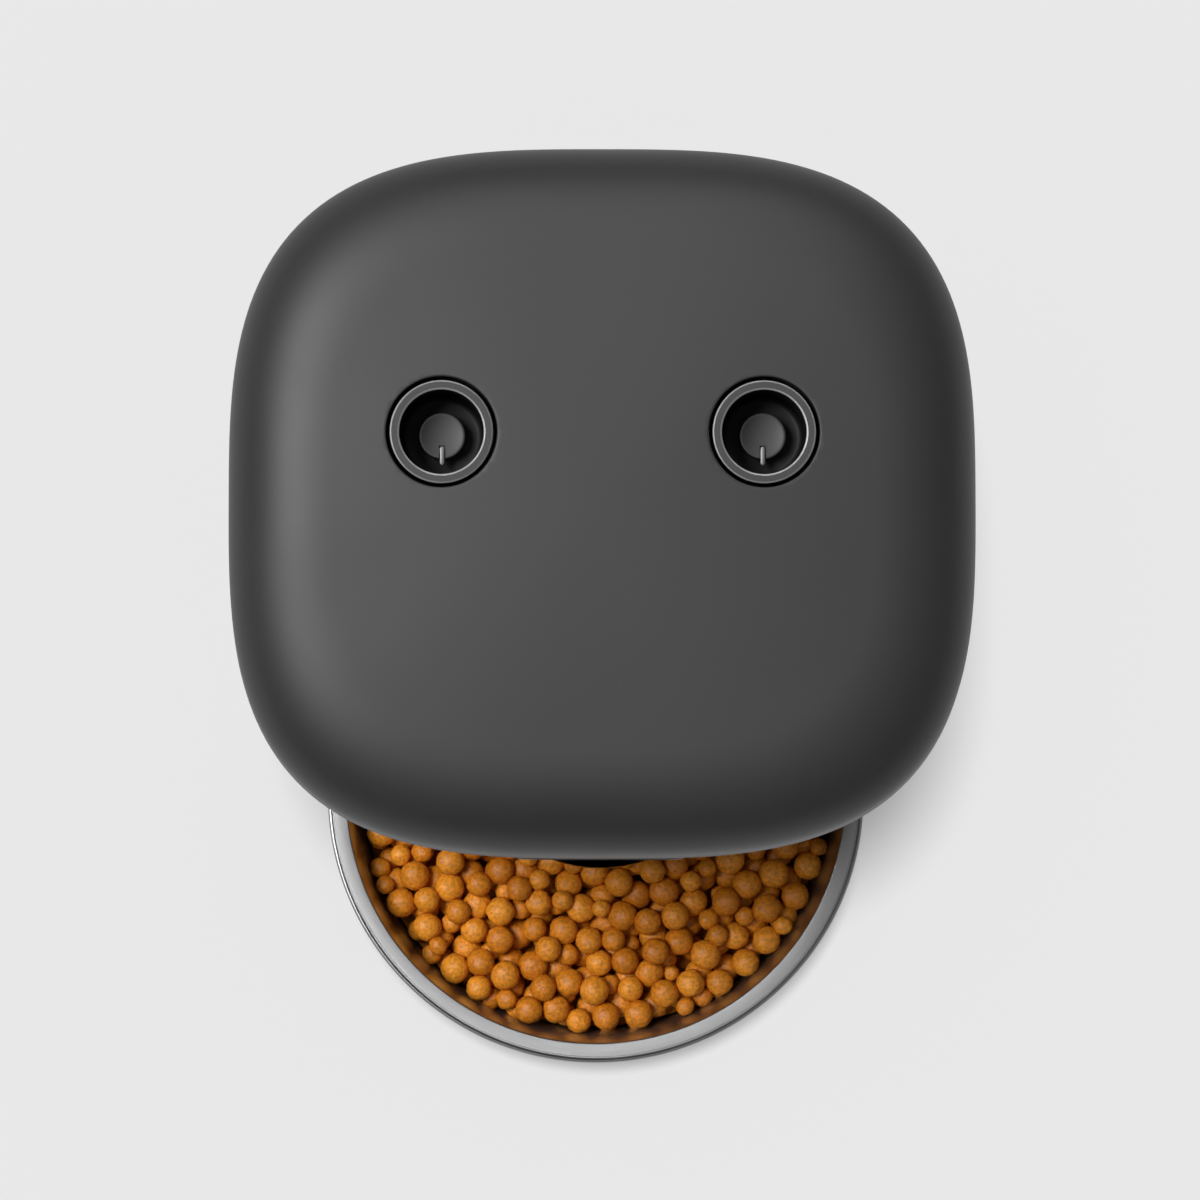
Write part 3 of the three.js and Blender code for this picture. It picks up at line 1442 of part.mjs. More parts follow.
// Quarter-turn cap of the canister, with a grip bar and breathing holes
const canisterCapThickness = 3;
const gripHeight = 4;
const gripInset = 7;
const gripHalfWidth = 2.4;
const breatherRadius = 2.2;
const breatherInset = 10;
const breatherSides = 6;
const breatherCount = 6;

function desiccantCap() {
  const high = canisterLow - fitGap;
  const low = high - canisterCapThickness;
  const gripHalfLength = canisterRadius - gripInset;
  let cap = drum(canisterRadius, low, high, roundSteps).add(block(
    [-gripHalfLength, gripHalfLength],
    [-gripHalfWidth, gripHalfWidth],
    [low - gripHeight, (low + high) / 2],
  ));
  const reach = canisterRadius - breatherInset;
  for (let i = 0; i < breatherCount; i += 1) {
    const angle = (2 * Math.PI * (i + 1 / 2)) / breatherCount;
    const hole = drum(breatherRadius, low - overrun, high + overrun, breatherSides);
    cap = cap.subtract(hole.translate([reach * Math.cos(angle), reach * Math.sin(angle), 0]));
  }
  return cap.translate([0, bodyCentreY, 0]);
}

// Lock parts, modelled about the lock's own axis
const cupSetDown = 1.3;
const cupGap = 1.1;
const cupFlangeReach = 0.7;
const cupFlangeHeight = 2.6;
const cupRingWidth = 1.9;
const cupMouthStep = 0.6;
const cupChamfer = 0.5;
const cupFloor = 4;
const cupFillet = 1.2;
const cupTop = overallHeight - cupSetDown;
const cupBottom = wellFloorHigh + fitGap;
const cupFloorHigh = cupBottom + cupFloor;
const cupFlangeRadius = wellRadius - cupGap;
const cupOuterRadius = cupFlangeRadius - cupFlangeReach;
const cupRingInner = cupFlangeRadius - cupRingWidth;
const cupMouthRadius = cupRingInner - cupMouthStep;
const hubPostRadius = 5.5;
const hubPostHeight = 3.4;
const hubPostHigh = cupFloorHigh + hubPostHeight;
const spigotRadius = 3;
const spigotDepth = 2.2;

function lockCup() {
  return turned([
    [0, cupBottom + spigotDepth + fitGap],
    [spigotRadius + fitGap, cupBottom + spigotDepth + fitGap],
    [spigotRadius + fitGap, cupBottom],
    [cupOuterRadius, cupBottom],
    [cupOuterRadius, cupTop - cupFlangeHeight],
    [cupFlangeRadius, cupTop - cupFlangeHeight],
    [cupFlangeRadius, cupTop - cupChamfer],
    [cupFlangeRadius - cupChamfer, cupTop],
    [cupRingInner, cupTop],
    [cupMouthRadius, cupTop - cupChamfer],
    [cupMouthRadius, cupFloorHigh + cupFillet],
    [cupMouthRadius - cupFillet, cupFloorHigh],
    [hubPostRadius, cupFloorHigh],
    [hubPostRadius, hubPostHigh],
    [0, hubPostHigh],
  ]);
}

const capRadius = 6.5;
const capHeight = 2.6;
const capEdge = 0.3;
const capDishDepth = 1.5;
const capDishShares = [[0.69, 0.6], [0.38, 0.9], [0, 1]];
const capLow = hubPostHigh + fitGap;
const capRimHigh = capLow + capHeight;
const pointerInner = 3;
const pointerOverhang = 1.9;
const pointerOuter = capRadius + pointerOverhang;
const pointerHalfWidth = 0.65;
const pointerSink = 0.9;
const pointerProud = 0.3;
const pointerLow = capRimHigh - pointerSink;
const pointerHigh = capRimHigh + pointerProud;
const pointerSteps = 6;

function lockCap() {
  const disc = turned([
    [0, capLow],
    [capRadius - capEdge, capLow],
    [capRadius, capLow + capEdge],
    [capRadius, capRimHigh - capEdge],
    [capRadius - capEdge, capRimHigh],
    [capRadius - 2 * capEdge, capRimHigh],
    ...capDishShares.map(([across, down]) => [across * capRadius, capRimHigh - down * capDishDepth]),
  ]);
  const slot = block(
    [-pointerHalfWidth - fitGap, pointerHalfWidth + fitGap],
    [-capRadius - overrun, -pointerInner + fitGap],
    [pointerLow - fitGap, pointerHigh + overrun],
  );
  return disc.subtract(slot);
}

function lockPointer() {
  const shape = new THREE.Shape();
  shape.moveTo(pointerHalfWidth, -pointerInner - pointerHalfWidth);
  shape.absarc(0, -pointerInner - pointerHalfWidth, pointerHalfWidth, 0, Math.PI, false);
  shape.lineTo(-pointerHalfWidth, -pointerOuter + pointerHalfWidth);
  shape.lineTo(0, -pointerOuter);
  shape.lineTo(pointerHalfWidth, -pointerOuter + pointerHalfWidth);
  return extruded(shape, pointerLow, pointerHigh, pointerSteps);
}

function lockShaft() {
  const spindle = turned([
    [0, stubLow],
    [stubRadius, stubLow],
    [stubRadius, boltLow],
    [lockShaftRadius, boltLow],
    [lockShaftRadius, cupBottom - fitGap],
    [spigotRadius, cupBottom - fitGap],
    [spigotRadius, cupBottom + spigotDepth],
    [0, cupBottom + spigotDepth],
  ], smallSteps);
  const towardsRack = -Math.PI / 2;
  const pinionHigh = boltHigh + pinionOverhang;
  return spindle.add(gear(lockTeeth, lockToothSize, towardsRack, boltLow, pinionHigh, lockSlack));
}

// Bolt with rack teeth on its back, drawn for the right side and mirrored for the left
function lockBolt() {
  const tip = rackTipShare * lockToothSize;
  const root = rootShare * lockToothSize;
  const halfTooth = lockPitch / 4 - lockSlack / 2;
  const slope = Math.tan(pressureAngle);
  const shape = new THREE.Shape();
  shape.moveTo(boltInnerX, boltFrontY);
  shape.lineTo(boltTipX, boltFrontY);
  shape.lineTo(boltTipX, boltBackY);
  for (let tooth = rackTeethAhead; tooth >= -rackTeethBehind; tooth -= 1) {
    const middle = lockX + lockPitch * (tooth - 1 / 2);
    shape.lineTo(middle + halfTooth + root * slope, rackLineY - root);
    shape.lineTo(middle + halfTooth - tip * slope, rackLineY + tip);
    shape.lineTo(middle - halfTooth + tip * slope, rackLineY + tip);
    shape.lineTo(middle - halfTooth - root * slope, rackLineY - root);
  }
  shape.lineTo(boltInnerX, boltBackY);
  return extruded(shape, boltLow, boltHigh);
}

// Keepers on the hopper flange that the bolts run into
const keeperBoltGap = 0.9;
const keeperPanGap = 1.4;
const keeperThickness = 3.8;
const keeperCheek = 2;

function keeper() {
  const x = [boltTipX + keeperPanGap, boltTipX + keeperPanGap + keeperThickness];
  const slotY = [boltFrontY - keeperBoltGap, boltBackY + keeperBoltGap];
  const outside = block(
    x,
    [slotY[0] - keeperCheek, slotY[1] + keeperCheek],
    [hopperTop + fitGap, panFlangeLow - fitGap],
  );
  const slot = block(
    [x[0] - overrun, x[1] + overrun],
    slotY,
    [boltLow - keeperBoltGap, boltHigh + keeperBoltGap],
  );
  return outside.subtract(slot);
}

function addLocks() {
  locks.forEach(({ side, sign }) => {
    const lock = new THREE.Group();
    lock.position.set(sign * lockX, lockY, 0);
    feeder.add(lock);
    addPart(`${side}_lock_cup`, lockCup(), graphite, lock);
    addPart(`${side}_lock_cap`, lockCap(), graphite, lock);
    addPart(`${side}_lock_pointer`, lockPointer(), zinc, lock);
    addPart(`${side}_lock_shaft`, lockShaft(), nylon, lock);
    const mirrored = (solid) => (sign > 0 ? solid : solid.mirror([1, 0, 0]));
    addPart(`${side}_lock_bolt`, mirrored(lockBolt()), zinc);
    addPart(`${side}_keeper`, mirrored(keeper()), steel);
  });
}

// Assembly
addPart('base_plate', basePlate(), innerBlack);
Object.entries(footPlaces).forEach(([name, [x, y]]) => {
  addPart(name, foot(), rubber).position.set(x, y, 0);
});
addPart('column_housing', columnHousing(), graphite);
addPart('alcove_liner', alcoveLiner(), innerBlack);
addPart('battery_cover', batteryCover(), graphite);
addPart('battery_box', batteryBox(), innerBlack);
cellNames.forEach((name, i) => {
  const cell = addPart(name, batteryCell(), cellGrey);
  cell.position.set((i - (cellNames.length - 1) / 2) * cellPitch, cellY, columnBottom + boxWall + fitGap);
});
addPart('main_board', mainBoard(), boardGreen);
addPart('power_socket', powerSocket(), innerBlack);

addPart('head_shell', headShell(), graphite);
addPart('head_floor', headFloor(), innerBlack);
addPart('hopper', hopper(), clearGrey);
addCamera();
addPart('feed_button', feedButton(), graphite);
addPart('speaker_grille', speakerGrille(), innerBlack);
addPart('speaker', speaker(), innerBlack);
addPart('status_light', statusLight(), lightGuide);

const seatLow = floorHigh - socketDepth + fitGap;
const idlerAxle = drum(axleRadius, seatLow, gearPlateLow + socketDepth - fitGap);
addPart('motor', motor(), steel).position.set(motorX, motorY, 0);
addPart('motor_pinion', motorPinion(), nylon).position.set(motorX, motorY, 0);
addPart('idler_gear', idlerGear(), nylon).position.set(idlerX, idlerY, 0);
addPart('idler_axle', idlerAxle, steel).position.set(idlerX, idlerY, 0);
addPart('drive_gear', driveGear(), nylon).position.set(0, rotorY, 0);
addPart('drive_shaft', drum(shaftRadius, seatLow, shaftTop), steel).position.set(0, rotorY, 0);
addPart('gear_plate', gearPlate(), innerBlack);
addPart('metering_pot', meteringPot(), innerBlack);
addPart('metering_hood', meteringHood(), innerBlack);
addPart('impeller', impeller(), rubber).position.set(0, rotorY, 0);
addPart('stirrer', stirrer(), nylon).position.set(0, rotorY, 0);
addPart('chute', chute(), innerBlack);
addPart('flap_pin', flapPin(), steel);
addPart('chute_flap', chuteFlap(), innerBlack);

addPart('lid_shell', lidShell(), graphite);
addPart('lid_pan', lidPan(), innerBlack);
addPart('lid_seal', lidSeal(), rubber);
addPart('desiccant_box', desiccantBox(), innerBlack);
addPart('desiccant_cap', desiccantCap(), graphite);
addLocks();

addPart('bowl_tray', bowlTray(), graphite);
addPart('bowl', bowl(), steel);
addPart('kibble_fill', kibbleFill(), kibbleBrown);

export default feeder;
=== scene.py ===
import json
import math
import random

import bmesh
import bpy
from mathutils import Matrix, Vector, noise


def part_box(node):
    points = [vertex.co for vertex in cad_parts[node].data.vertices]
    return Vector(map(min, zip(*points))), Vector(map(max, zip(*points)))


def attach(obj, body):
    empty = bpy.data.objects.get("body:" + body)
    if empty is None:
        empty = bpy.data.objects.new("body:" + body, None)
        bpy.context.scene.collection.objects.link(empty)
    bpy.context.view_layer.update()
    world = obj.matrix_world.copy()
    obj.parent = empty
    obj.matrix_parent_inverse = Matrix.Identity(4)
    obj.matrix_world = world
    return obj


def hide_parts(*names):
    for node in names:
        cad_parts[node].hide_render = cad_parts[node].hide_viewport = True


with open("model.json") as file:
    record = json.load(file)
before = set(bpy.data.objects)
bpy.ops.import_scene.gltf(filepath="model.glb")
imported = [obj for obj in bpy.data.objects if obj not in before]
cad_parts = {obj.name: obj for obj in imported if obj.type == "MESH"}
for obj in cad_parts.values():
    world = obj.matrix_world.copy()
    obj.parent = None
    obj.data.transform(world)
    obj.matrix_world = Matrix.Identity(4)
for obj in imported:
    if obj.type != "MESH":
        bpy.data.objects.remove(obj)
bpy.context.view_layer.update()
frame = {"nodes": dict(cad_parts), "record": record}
nodes = frame["nodes"]
mm = 0.001

# Room: a pale table top seen from above, which goes on past every edge of the picture.
# It keeps the feeder's soft shadow, and it throws little light back up on the dark plastic.
table_colour = 0.3
table_bounce_colour = 0.12
table_glow = 0.3
table_half_width = 60.0


def new_material(name, colour, roughness):
    material = bpy.data.materials.new(name)
    material.use_nodes = True
    shader = material.node_tree.nodes["Principled BSDF"]
    shader.inputs["Base Color"].default_value = (*colour[:3], 1)
    shader.inputs["Roughness"].default_value = roughness
    return material, material.node_tree, shader


def fill_inputs(tree, node, inputs):
    """Links each named input of a node to a socket, or gives it a value."""
    for name, value in inputs.items():
        if isinstance(value, bpy.types.NodeSocket):
            tree.links.new(value, node.inputs[name])
        else:
            node.inputs[name].default_value = value


def add_node(tree, kind, inputs=None, **values):
    node = tree.nodes.new(kind)
    for name, value in values.items():
        setattr(node, name, value)
    fill_inputs(tree, node, inputs or {})
    return node


def make_piece(name, bm, material, smooth_angle=30):
    mesh = bpy.data.meshes.new(name)
    bm.to_mesh(mesh)
    bm.free()
    mesh.shade_smooth()
    mesh.set_sharp_from_angle(angle=math.radians(smooth_angle))
    piece = bpy.data.objects.new(name, mesh)
    bpy.context.scene.collection.objects.link(piece)
    if material:
        mesh.materials.append(material)
    return piece


table_bm = bmesh.new()
bmesh.ops.create_grid(table_bm, x_segments=2, y_segments=2, size=table_half_width)
table_paint, table_tree, table_shader = new_material("table_paint", (table_colour,) * 3, 0.9)
fill_inputs(table_tree, table_shader, {"Specular IOR Level": 0, "Emission Color": (1, 1, 1, 1)})
ray_kind = add_node(table_tree, "ShaderNodeLightPath").outputs
ray_seen = ray_kind["Is Camera Ray"]
for kind in ("Is Glossy Ray", "Is Transmission Ray"):
    ray_seen = add_node(table_tree, "ShaderNodeMath", {0: ray_seen, 1: ray_kind[kind]},
                        operation="MAXIMUM").outputs[0]
for socket_name, dim, full in (("Base Color", table_bounce_colour, table_colour),
                               ("Emission Strength", 0, table_glow)):
    level = add_node(table_tree, "ShaderNodeMapRange", {"Value": ray_seen, "To Min": dim, "To Max": full})
    fill_inputs(table_tree, table_shader, {socket_name: level.outputs["Result"]})
table_top = make_piece("table_top", table_bm, table_paint)

# Camera: it looks almost straight down from over the bowl, as the picture was taken.
camera_place = Vector((-0.01515, -0.12142, 2.302))
camera_target = Vector((-0.00053, 0.00227, 0.302))
camera_lens_length = 213.5
camera_sensor_width = 36
camera_far_limit = 200

camera_data = bpy.data.cameras.new("view")
camera_data.lens = camera_lens_length
camera_data.sensor_width = camera_sensor_width
camera_data.clip_end = camera_far_limit
camera = bpy.data.objects.new("view", camera_data)
bpy.context.scene.collection.objects.link(camera)
view_line = (camera_target - camera_place).normalized()
view_right = view_line.cross(Vector((0, 1, 0))).normalized()
view_up = view_right.cross(view_line)
camera.matrix_world = Matrix((
    (view_right.x, view_up.x, -view_line.x, camera_place.x),
    (view_right.y, view_up.y, -view_line.y, camera_place.y),
    (view_right.z, view_up.z, -view_line.z, camera_place.z),
    (0, 0, 0, 1),
))
bpy.context.scene.camera = camera

# Light: a broad soft lamp up on the left gives the bright left shoulder, a weaker one behind the
# back shoulder, and the room is dim and dimmer towards the horizon. The table has a lamp of its
# own almost overhead, so that the feeder's shadow stays short.
lamps = {
    "key_lamp": {"from": (-0.46, 0.13, 0.88), "spread": 24, "strength": 2.8, "lights_table": False},
    "back_lamp": {"from": (0.06, 0.66, 0.75), "spread": 34, "strength": 0.7, "lights_table": False},
    "table_lamp": {"from": (-0.034, 0.028, 1), "spread": 6, "strength": 4.75, "lights_table": True},
}
room_overhead = 0.29
room_horizon = 0.03

for lamp_name, lamp_facts in lamps.items():
    lamp_data = bpy.data.lights.new(lamp_name, "SUN")
    lamp_data.energy = lamp_facts["strength"]
    lamp_data.angle = math.radians(lamp_facts["spread"])
    lamp = bpy.data.objects.new(lamp_name, lamp_data)
    bpy.context.scene.collection.objects.link(lamp)
    lamp.matrix_world = (-Vector(lamp_facts["from"])).to_track_quat("-Z", "Y").to_matrix().to_4x4()
    lit = bpy.data.collections.new(lamp_name + "_lights")
    lit.objects.link(table_top)
    table_link = lit.collection_objects[0].light_linking
    table_link.link_state = "INCLUDE" if lamp_facts["lights_table"] else "EXCLUDE"
    lamp.light_linking.receiver_collection = lit

room = bpy.data.worlds.new("room")
room.use_nodes = True
room_tree = room.node_tree
room_direction = add_node(room_tree, "ShaderNodeTexCoord").outputs["Generated"]
room_upward = add_node(room_tree, "ShaderNodeSeparateXYZ", {"Vector": room_direction}).outputs["Z"]
room_level = add_node(room_tree, "ShaderNodeMapRange",
                      {"Value": room_upward, "To Min": room_horizon, "To Max": room_overhead})
fill_inputs(room_tree, room_tree.nodes["Background"],
            {"Color": (1, 1, 1, 1), "Strength": room_level.outputs["Result"]})
bpy.context.scene.world = room
bpy.context.scene.view_settings.view_transform = "Standard"

# Lid: a pillow of moulded ABS with a fine spark-eroded grain, 2.8 mm thick, with a lip that
# drops inside the head and two straight wells for the locks.
lid_low, lid_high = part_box("lid_shell")
body_half_width = (lid_high.x - lid_low.x) / 2
body_half_depth = (lid_high.y - lid_low.y) / 2
body_centre_y = (lid_high.y + lid_low.y) / 2
corner_power = 3.11
outline_steps = 256
parting_height = 302 * mm
head_bottom = 157 * mm
head_draft = 5 * mm
shell_wall = 2.8 * mm
lid_wall_height = 11 * mm
lid_round_width = 30 * mm
lid_round_height = 22 * mm
lid_round_power = 2.6
lid_flat_height = parting_height + lid_wall_height + lid_round_height
lid_dome = lid_high.z - lid_flat_height
lid_edge_draft = 0.4 * mm
lid_seam_round = 0.5 * mm
lip_inset = 3.3 * mm
lip_wall = 1.8 * mm
lip_low = 297.5 * mm
pan_ledge_high = 300.3 * mm
pan_ledge_reach = 1.9 * mm
lock_x = 44.7 * mm
lock_y = body_centre_y + 17.7 * mm
well_radius = 15.4 * mm
well_wall = 2.4 * mm
well_floor = 314 * mm
well_floor_thickness = 2 * mm
well_hole_radius = 4.2 * mm
well_edge_round = 0.45 * mm
well_overcut = 3 * mm
graphite_colour = (0.021, 0.021, 0.022)
plastic_mottle_size = 35 * mm
plastic_gloss_swing = 0.04


def outline_point(turn, half_width, half_depth, height):
    across = math.cos(turn)
    along = math.sin(turn)
    total = abs(across / half_width) ** corner_power + abs(along / half_depth) ** corner_power
    reach = total ** (-1 / corner_power)
    return Vector((reach * across, body_centre_y + reach * along, height))


def body_level(inset, height):
    """A level for outline_skin, moved in from the body's outline."""
    return (body_half_width - inset, body_half_depth - inset, height)


def skin(rings, closed=True):
    """Skins rings of points from the first to the last, and closes its ends, or joins them together."""
    bm = bmesh.new()
    place_in_ring = bm.verts.layers.int.new("place_in_ring")
    count = len(rings[0])
    ring = bmesh.ops.create_circle(bm, segments=count, radius=1)["verts"]
    for vert in ring:
        vert[place_in_ring] = round(math.atan2(vert.co.y, vert.co.x) / math.tau * count) % count
    edges = list(bm.edges)
    if closed:
        bmesh.ops.contextual_create(bm, geom=edges)
    for number, points in enumerate(rings):
        if number:
            grown = bmesh.ops.extrude_edge_only(bm, edges=edges)["geom"]
            ring = [item for item in grown if isinstance(item, bmesh.types.BMVert)]
            edges = [item for item in grown if isinstance(item, bmesh.types.BMEdge) and item.is_boundary]
        for vert in ring:
            vert.co = points[vert[place_in_ring]]
    if closed:
        bmesh.ops.contextual_create(bm, geom=edges)
    else:
        bmesh.ops.bridge_loops(bm, edges=[edge for edge in bm.edges if edge.is_boundary])
    bmesh.ops.recalc_face_normals(bm, faces=bm.faces)
    return bm


def outline_skin(levels, closed=True):
    """Skins outlines of the body, given as half width, half depth and height."""
    turns = [math.tau * step / outline_steps for step in range(outline_steps)]
    return skin([[outline_point(turn, *level) for turn in turns] for level in levels], closed)


def lid_crown(distance):
    share = min(1, distance / body_half_width)
    return lid_dome * (1 - (1 - share) ** 2)


def pillow_levels(wall, round_steps, crown_steps):
    """Outlines of the pillow from its wall up to its middle, moved in by a wall thickness."""
    half_width = body_half_width - wall
    half_depth = body_half_depth - wall
    levels = []
    for step in range(round_steps + 1):
        turn = math.pi / 2 * step / round_steps
        total = math.cos(turn) ** lid_round_power + math.sin(turn) ** lid_round_power
        reach = total ** (-1 / lid_round_power)
        distance = lid_edge_draft + (lid_round_width - wall) * (1 - reach * math.cos(turn))
        height = parting_height + lid_wall_height + (lid_round_height - wall) * reach * math.sin(turn)
        levels.append((half_width - distance, half_depth - distance, height + lid_crown(distance)))
    inset = lid_edge_draft + lid_round_width - wall
    for step in range(1, crown_steps):
        share = 1 - step / crown_steps
        distance = inset + (half_width - inset) * (1 - share)
        height = lid_flat_height - wall + lid_crown(distance)
        levels.append(((half_width - inset) * share, (half_depth - inset) * share, height))
    return levels


def lid_top_height(x, y):
    inset = lid_edge_draft + lid_round_width
    half_width = body_half_width - inset
    half_depth = body_half_depth - inset
    share = (abs(x / half_width) ** corner_power
             + abs((y - body_centre_y) / half_depth) ** corner_power) ** (1 / corner_power)
    distance = inset + half_width * (1 - share)
    return lid_flat_height + lid_crown(distance)


def cylinder(radius, low, high):
    """The profile of a plain cylinder, for turned."""
    return [(0, low), (radius, low), (radius, high), (0, high)]


def turned(profile, steps, centre=(0, 0, 0)):
    """Spins a profile of radius and height about an upright axis; it closes on the axis or on itself."""
    bm = bmesh.new()
    verts = [bm.verts.new((radius, 0, height)) for radius, height in profile]
    edges = [bm.edges.new(pair) for pair in zip(verts, verts[1:])]
    if profile[0][0] > 0 and profile[-1][0] > 0:
        edges.append(bm.edges.new((verts[-1], verts[0])))
    bmesh.ops.spin(bm, geom=verts + edges, cent=(0, 0, 0), axis=(0, 0, 1), angle=math.tau,
                   steps=steps, use_merge=True)
    bmesh.ops.remove_doubles(bm, verts=bm.verts, dist=0.002 * mm)
    bmesh.ops.recalc_face_normals(bm, faces=bm.faces)
    bmesh.ops.translate(bm, verts=bm.verts, vec=centre)
    return bm


def shaped_by(piece, other_bm, operation):
    """Cuts or joins a piece with another closed shape for good."""
    tool = make_piece("tool", other_bm, None)
    step = piece.modifiers.new("shape", "BOOLEAN")
    step.operation = operation
    step.object = tool
    step.solver = "EXACT"
    made_fast(piece)
    bpy.data.objects.remove(tool)


def made_fast(piece, smooth_angle=30):
    """Writes a piece's modifiers into its mesh."""
    shape = bpy.data.meshes.new_from_object(piece.evaluated_get(bpy.context.evaluated_depsgraph_get()))
    piece.modifiers.clear()
    piece.data = shape
    shape.shade_smooth()
    shape.set_sharp_from_angle(angle=math.radians(smooth_angle))


def well_cutter(place_x, place_y):
    """A straight well whose mouth flares in a small round that follows the crown of the lid."""
    flare = [(well_radius + well_edge_round * (1 - math.cos(turn)), -well_edge_round * (1 - math.sin(turn)))
             for turn in [math.pi / 2 * step / 4 for step in range(5)]]
    depth = lid_flat_height + lid_dome - well_floor
    bm = turned([(0, -depth), (well_radius, -depth), *flare, (well_radius + well_edge_round, well_overcut),
                 (0, well_overcut)], 128)
    for vert in bm.verts:
        if vert.co.z > -2 * well_edge_round:
            vert.co.z += lid_top_height(place_x + vert.co.x, place_y + vert.co.y)
        else:
            vert.co.z = well_floor
    bmesh.ops.translate(bm, verts=bm.verts, vec=(place_x, place_y, 0))
    return bm


def make_grain_group():
    """Moulded grain: a fine pebble for the bump and a broad mottle for colour and gloss."""
    group = bpy.data.node_groups.new("moulded_grain", "ShaderNodeTree")
    for socket in ("Grain Size", "Mottle Size"):
        group.interface.new_socket(socket, in_out="INPUT", socket_type="NodeSocketFloat")
    for socket in ("Height", "Mottle"):
        group.interface.new_socket(socket, in_out="OUTPUT", socket_type="NodeSocketFloat")
    given = add_node(group, "NodeGroupInput")
    result = add_node(group, "NodeGroupOutput")
    place = add_node(group, "ShaderNodeTexCoord")
    for size_name, height_name, detail in (("Grain Size", "Height", 3), ("Mottle Size", "Mottle", 4)):
        per_metre = add_node(group, "ShaderNodeMath", {0: 1, 1: given.outputs[size_name]}, operation="DIVIDE")
        field = add_node(group, "ShaderNodeTexNoise", {"Detail": detail, "Vector": place.outputs["Object"],
                                                       "Scale": per_metre.outputs[0]})
        fill_inputs(group, result, {height_name: field.outputs["Fac"]})
    return group


moulded_grain = make_grain_group()


def add_grain(tree, grain_size, mottle_size):
    return add_node(tree, "ShaderNodeGroup", {"Grain Size": grain_size, "Mottle Size": mottle_size},
                    node_tree=moulded_grain).outputs


def add_bump(tree, shader, height, depth, strength=1):
    """Puts a bump on top of what the shader's normal already has."""
    inputs = {"Distance": depth, "Strength": strength, "Height": height}
    if shader.inputs["Normal"].is_linked:
        inputs["Normal"] = shader.inputs["Normal"].links[0].from_socket
    bump = add_node(tree, "ShaderNodeBump", inputs)
    fill_inputs(tree, shader, {"Normal": bump.outputs["Normal"]})


def vary_gloss(tree, shader, field, roughness, swing):
    gloss = add_node(tree, "ShaderNodeMapRange",
                     {"Value": field, "To Min": roughness - swing, "To Max": roughness + swing})
    fill_inputs(tree, shader, {"Roughness": gloss.outputs["Result"]})


def vary_colour(tree, shader, field, colour, swing):
    shades = {socket_name: (*[channel * share for channel in colour], 1)
              for socket_name, share in (("A", 1 - swing), ("B", 1 + swing))}
    tint = add_node(tree, "ShaderNodeMix", {"Factor": field, **shades}, data_type="RGBA")
    fill_inputs(tree, shader, {"Base Color": tint.outputs["Result"]})


def moulded_plastic(name, colour, roughness, grain_size=0.45 * mm, grain_depth=0.012 * mm, mottle=0.08,
                    specular=0.5):
    """Plastic with the moulded grain in its bump and a broad mottle in its colour and gloss."""
    material, tree, shader = new_material(name, colour, roughness)
    shader.inputs["Specular IOR Level"].default_value = specular
    grain = add_grain(tree, grain_size, plastic_mottle_size)
    add_bump(tree, shader, grain["Height"], grain_depth)
    vary_colour(tree, shader, grain["Mottle"], colour, mottle)
    vary_gloss(tree, shader, grain["Mottle"], roughness, plastic_gloss_swing)
    return material


graphite = moulded_plastic("graphite_grain", graphite_colour, 0.5)

lid_levels = [
    *reversed(pillow_levels(wall=0, round_steps=24, crown_steps=40)),
    *[body_level(inset, height) for inset, height in (
        (0, parting_height + 4 * lid_seam_round),
        (0.3 * lid_seam_round, parting_height + 0.3 * lid_seam_round),
        (lid_seam_round, parting_height),
        (lip_inset, parting_height),
        (lip_inset, lip_low),
        (lip_inset + lip_wall, lip_low),
        (lip_inset + lip_wall, pan_ledge_high),
        (lip_inset + lip_wall + pan_ledge_reach, pan_ledge_high),
        (shell_wall, pan_ledge_high + 2 * pan_ledge_reach + lip_wall),
    )],
    *pillow_levels(shell_wall, round_steps=10, crown_steps=12),
]
lid = make_piece("lid_pillow", outline_skin(lid_levels), graphite)
for side in (-1, 1):
    tube_low, tube_high = well_floor - well_floor_thickness, lid_flat_height + lid_dome / 2
    well_at = (side * lock_x, lock_y, 0)
    tube = turned(cylinder(well_radius + well_wall, tube_low, tube_high), 96, well_at)
    hole = turned(cylinder(well_hole_radius, lip_low, tube_high), 48, well_at)
    shaped_by(lid, tube, "UNION")
    shaped_by(lid, well_cutter(side * lock_x, lock_y), "DIFFERENCE")
    shaped_by(lid, hole, "DIFFERENCE")


def seated(piece, body, slot_name, *node_names):
    """Gives a piece its body, and takes the place of the nodes that it stands for. The slot name is not used.
    """
    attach(piece, body)
    if node_names:
        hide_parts(*node_names)


seated(lid, "lid", "graphite_plastic", "lid_shell")

# Twist locks: a turned cup with a flat satin flange between two chamfers of bright metal, which
# are painted highlights, a dished cap on its post and a blade of die-cast metal let into the cap,
# which points to the front when the lid is free to lift.
cup_flange_radius = 14.3 * mm
cup_outer_radius = 13.6 * mm
cup_top = 338.7 * mm
cup_flange_height = 2.6 * mm
cup_bottom = 314.3 * mm
cup_mouth_radius = 11.75 * mm
cup_ring_inner = 12.2 * mm
cup_outer_chamfer = 0.4 * mm
cup_chamfer_height = 0.25 * mm
cup_edge = 0.03 * mm
painted_highlight_slope = (0.5, 0.93)
cup_floor = 318.3 * mm
cup_fillet = 2.2 * mm
post_radius = 5.5 * mm
post_high = 321.7 * mm
cap_radius = 6.5 * mm
cap_low = 322 * mm
cap_rim_high = 324.6 * mm
cap_edge = 0.35 * mm
cap_dish_depth = 0.35 * mm
pointer_inner = 3 * mm
pointer_outer = 8.4 * mm
pointer_half_width = 0.65 * mm
pointer_low = 323.7 * mm
pointer_high = 324.9 * mm
pointer_edge = 0.16 * mm
pointer_slot_play = 0.5 * mm
pointer_slot_gap = 0.3 * mm
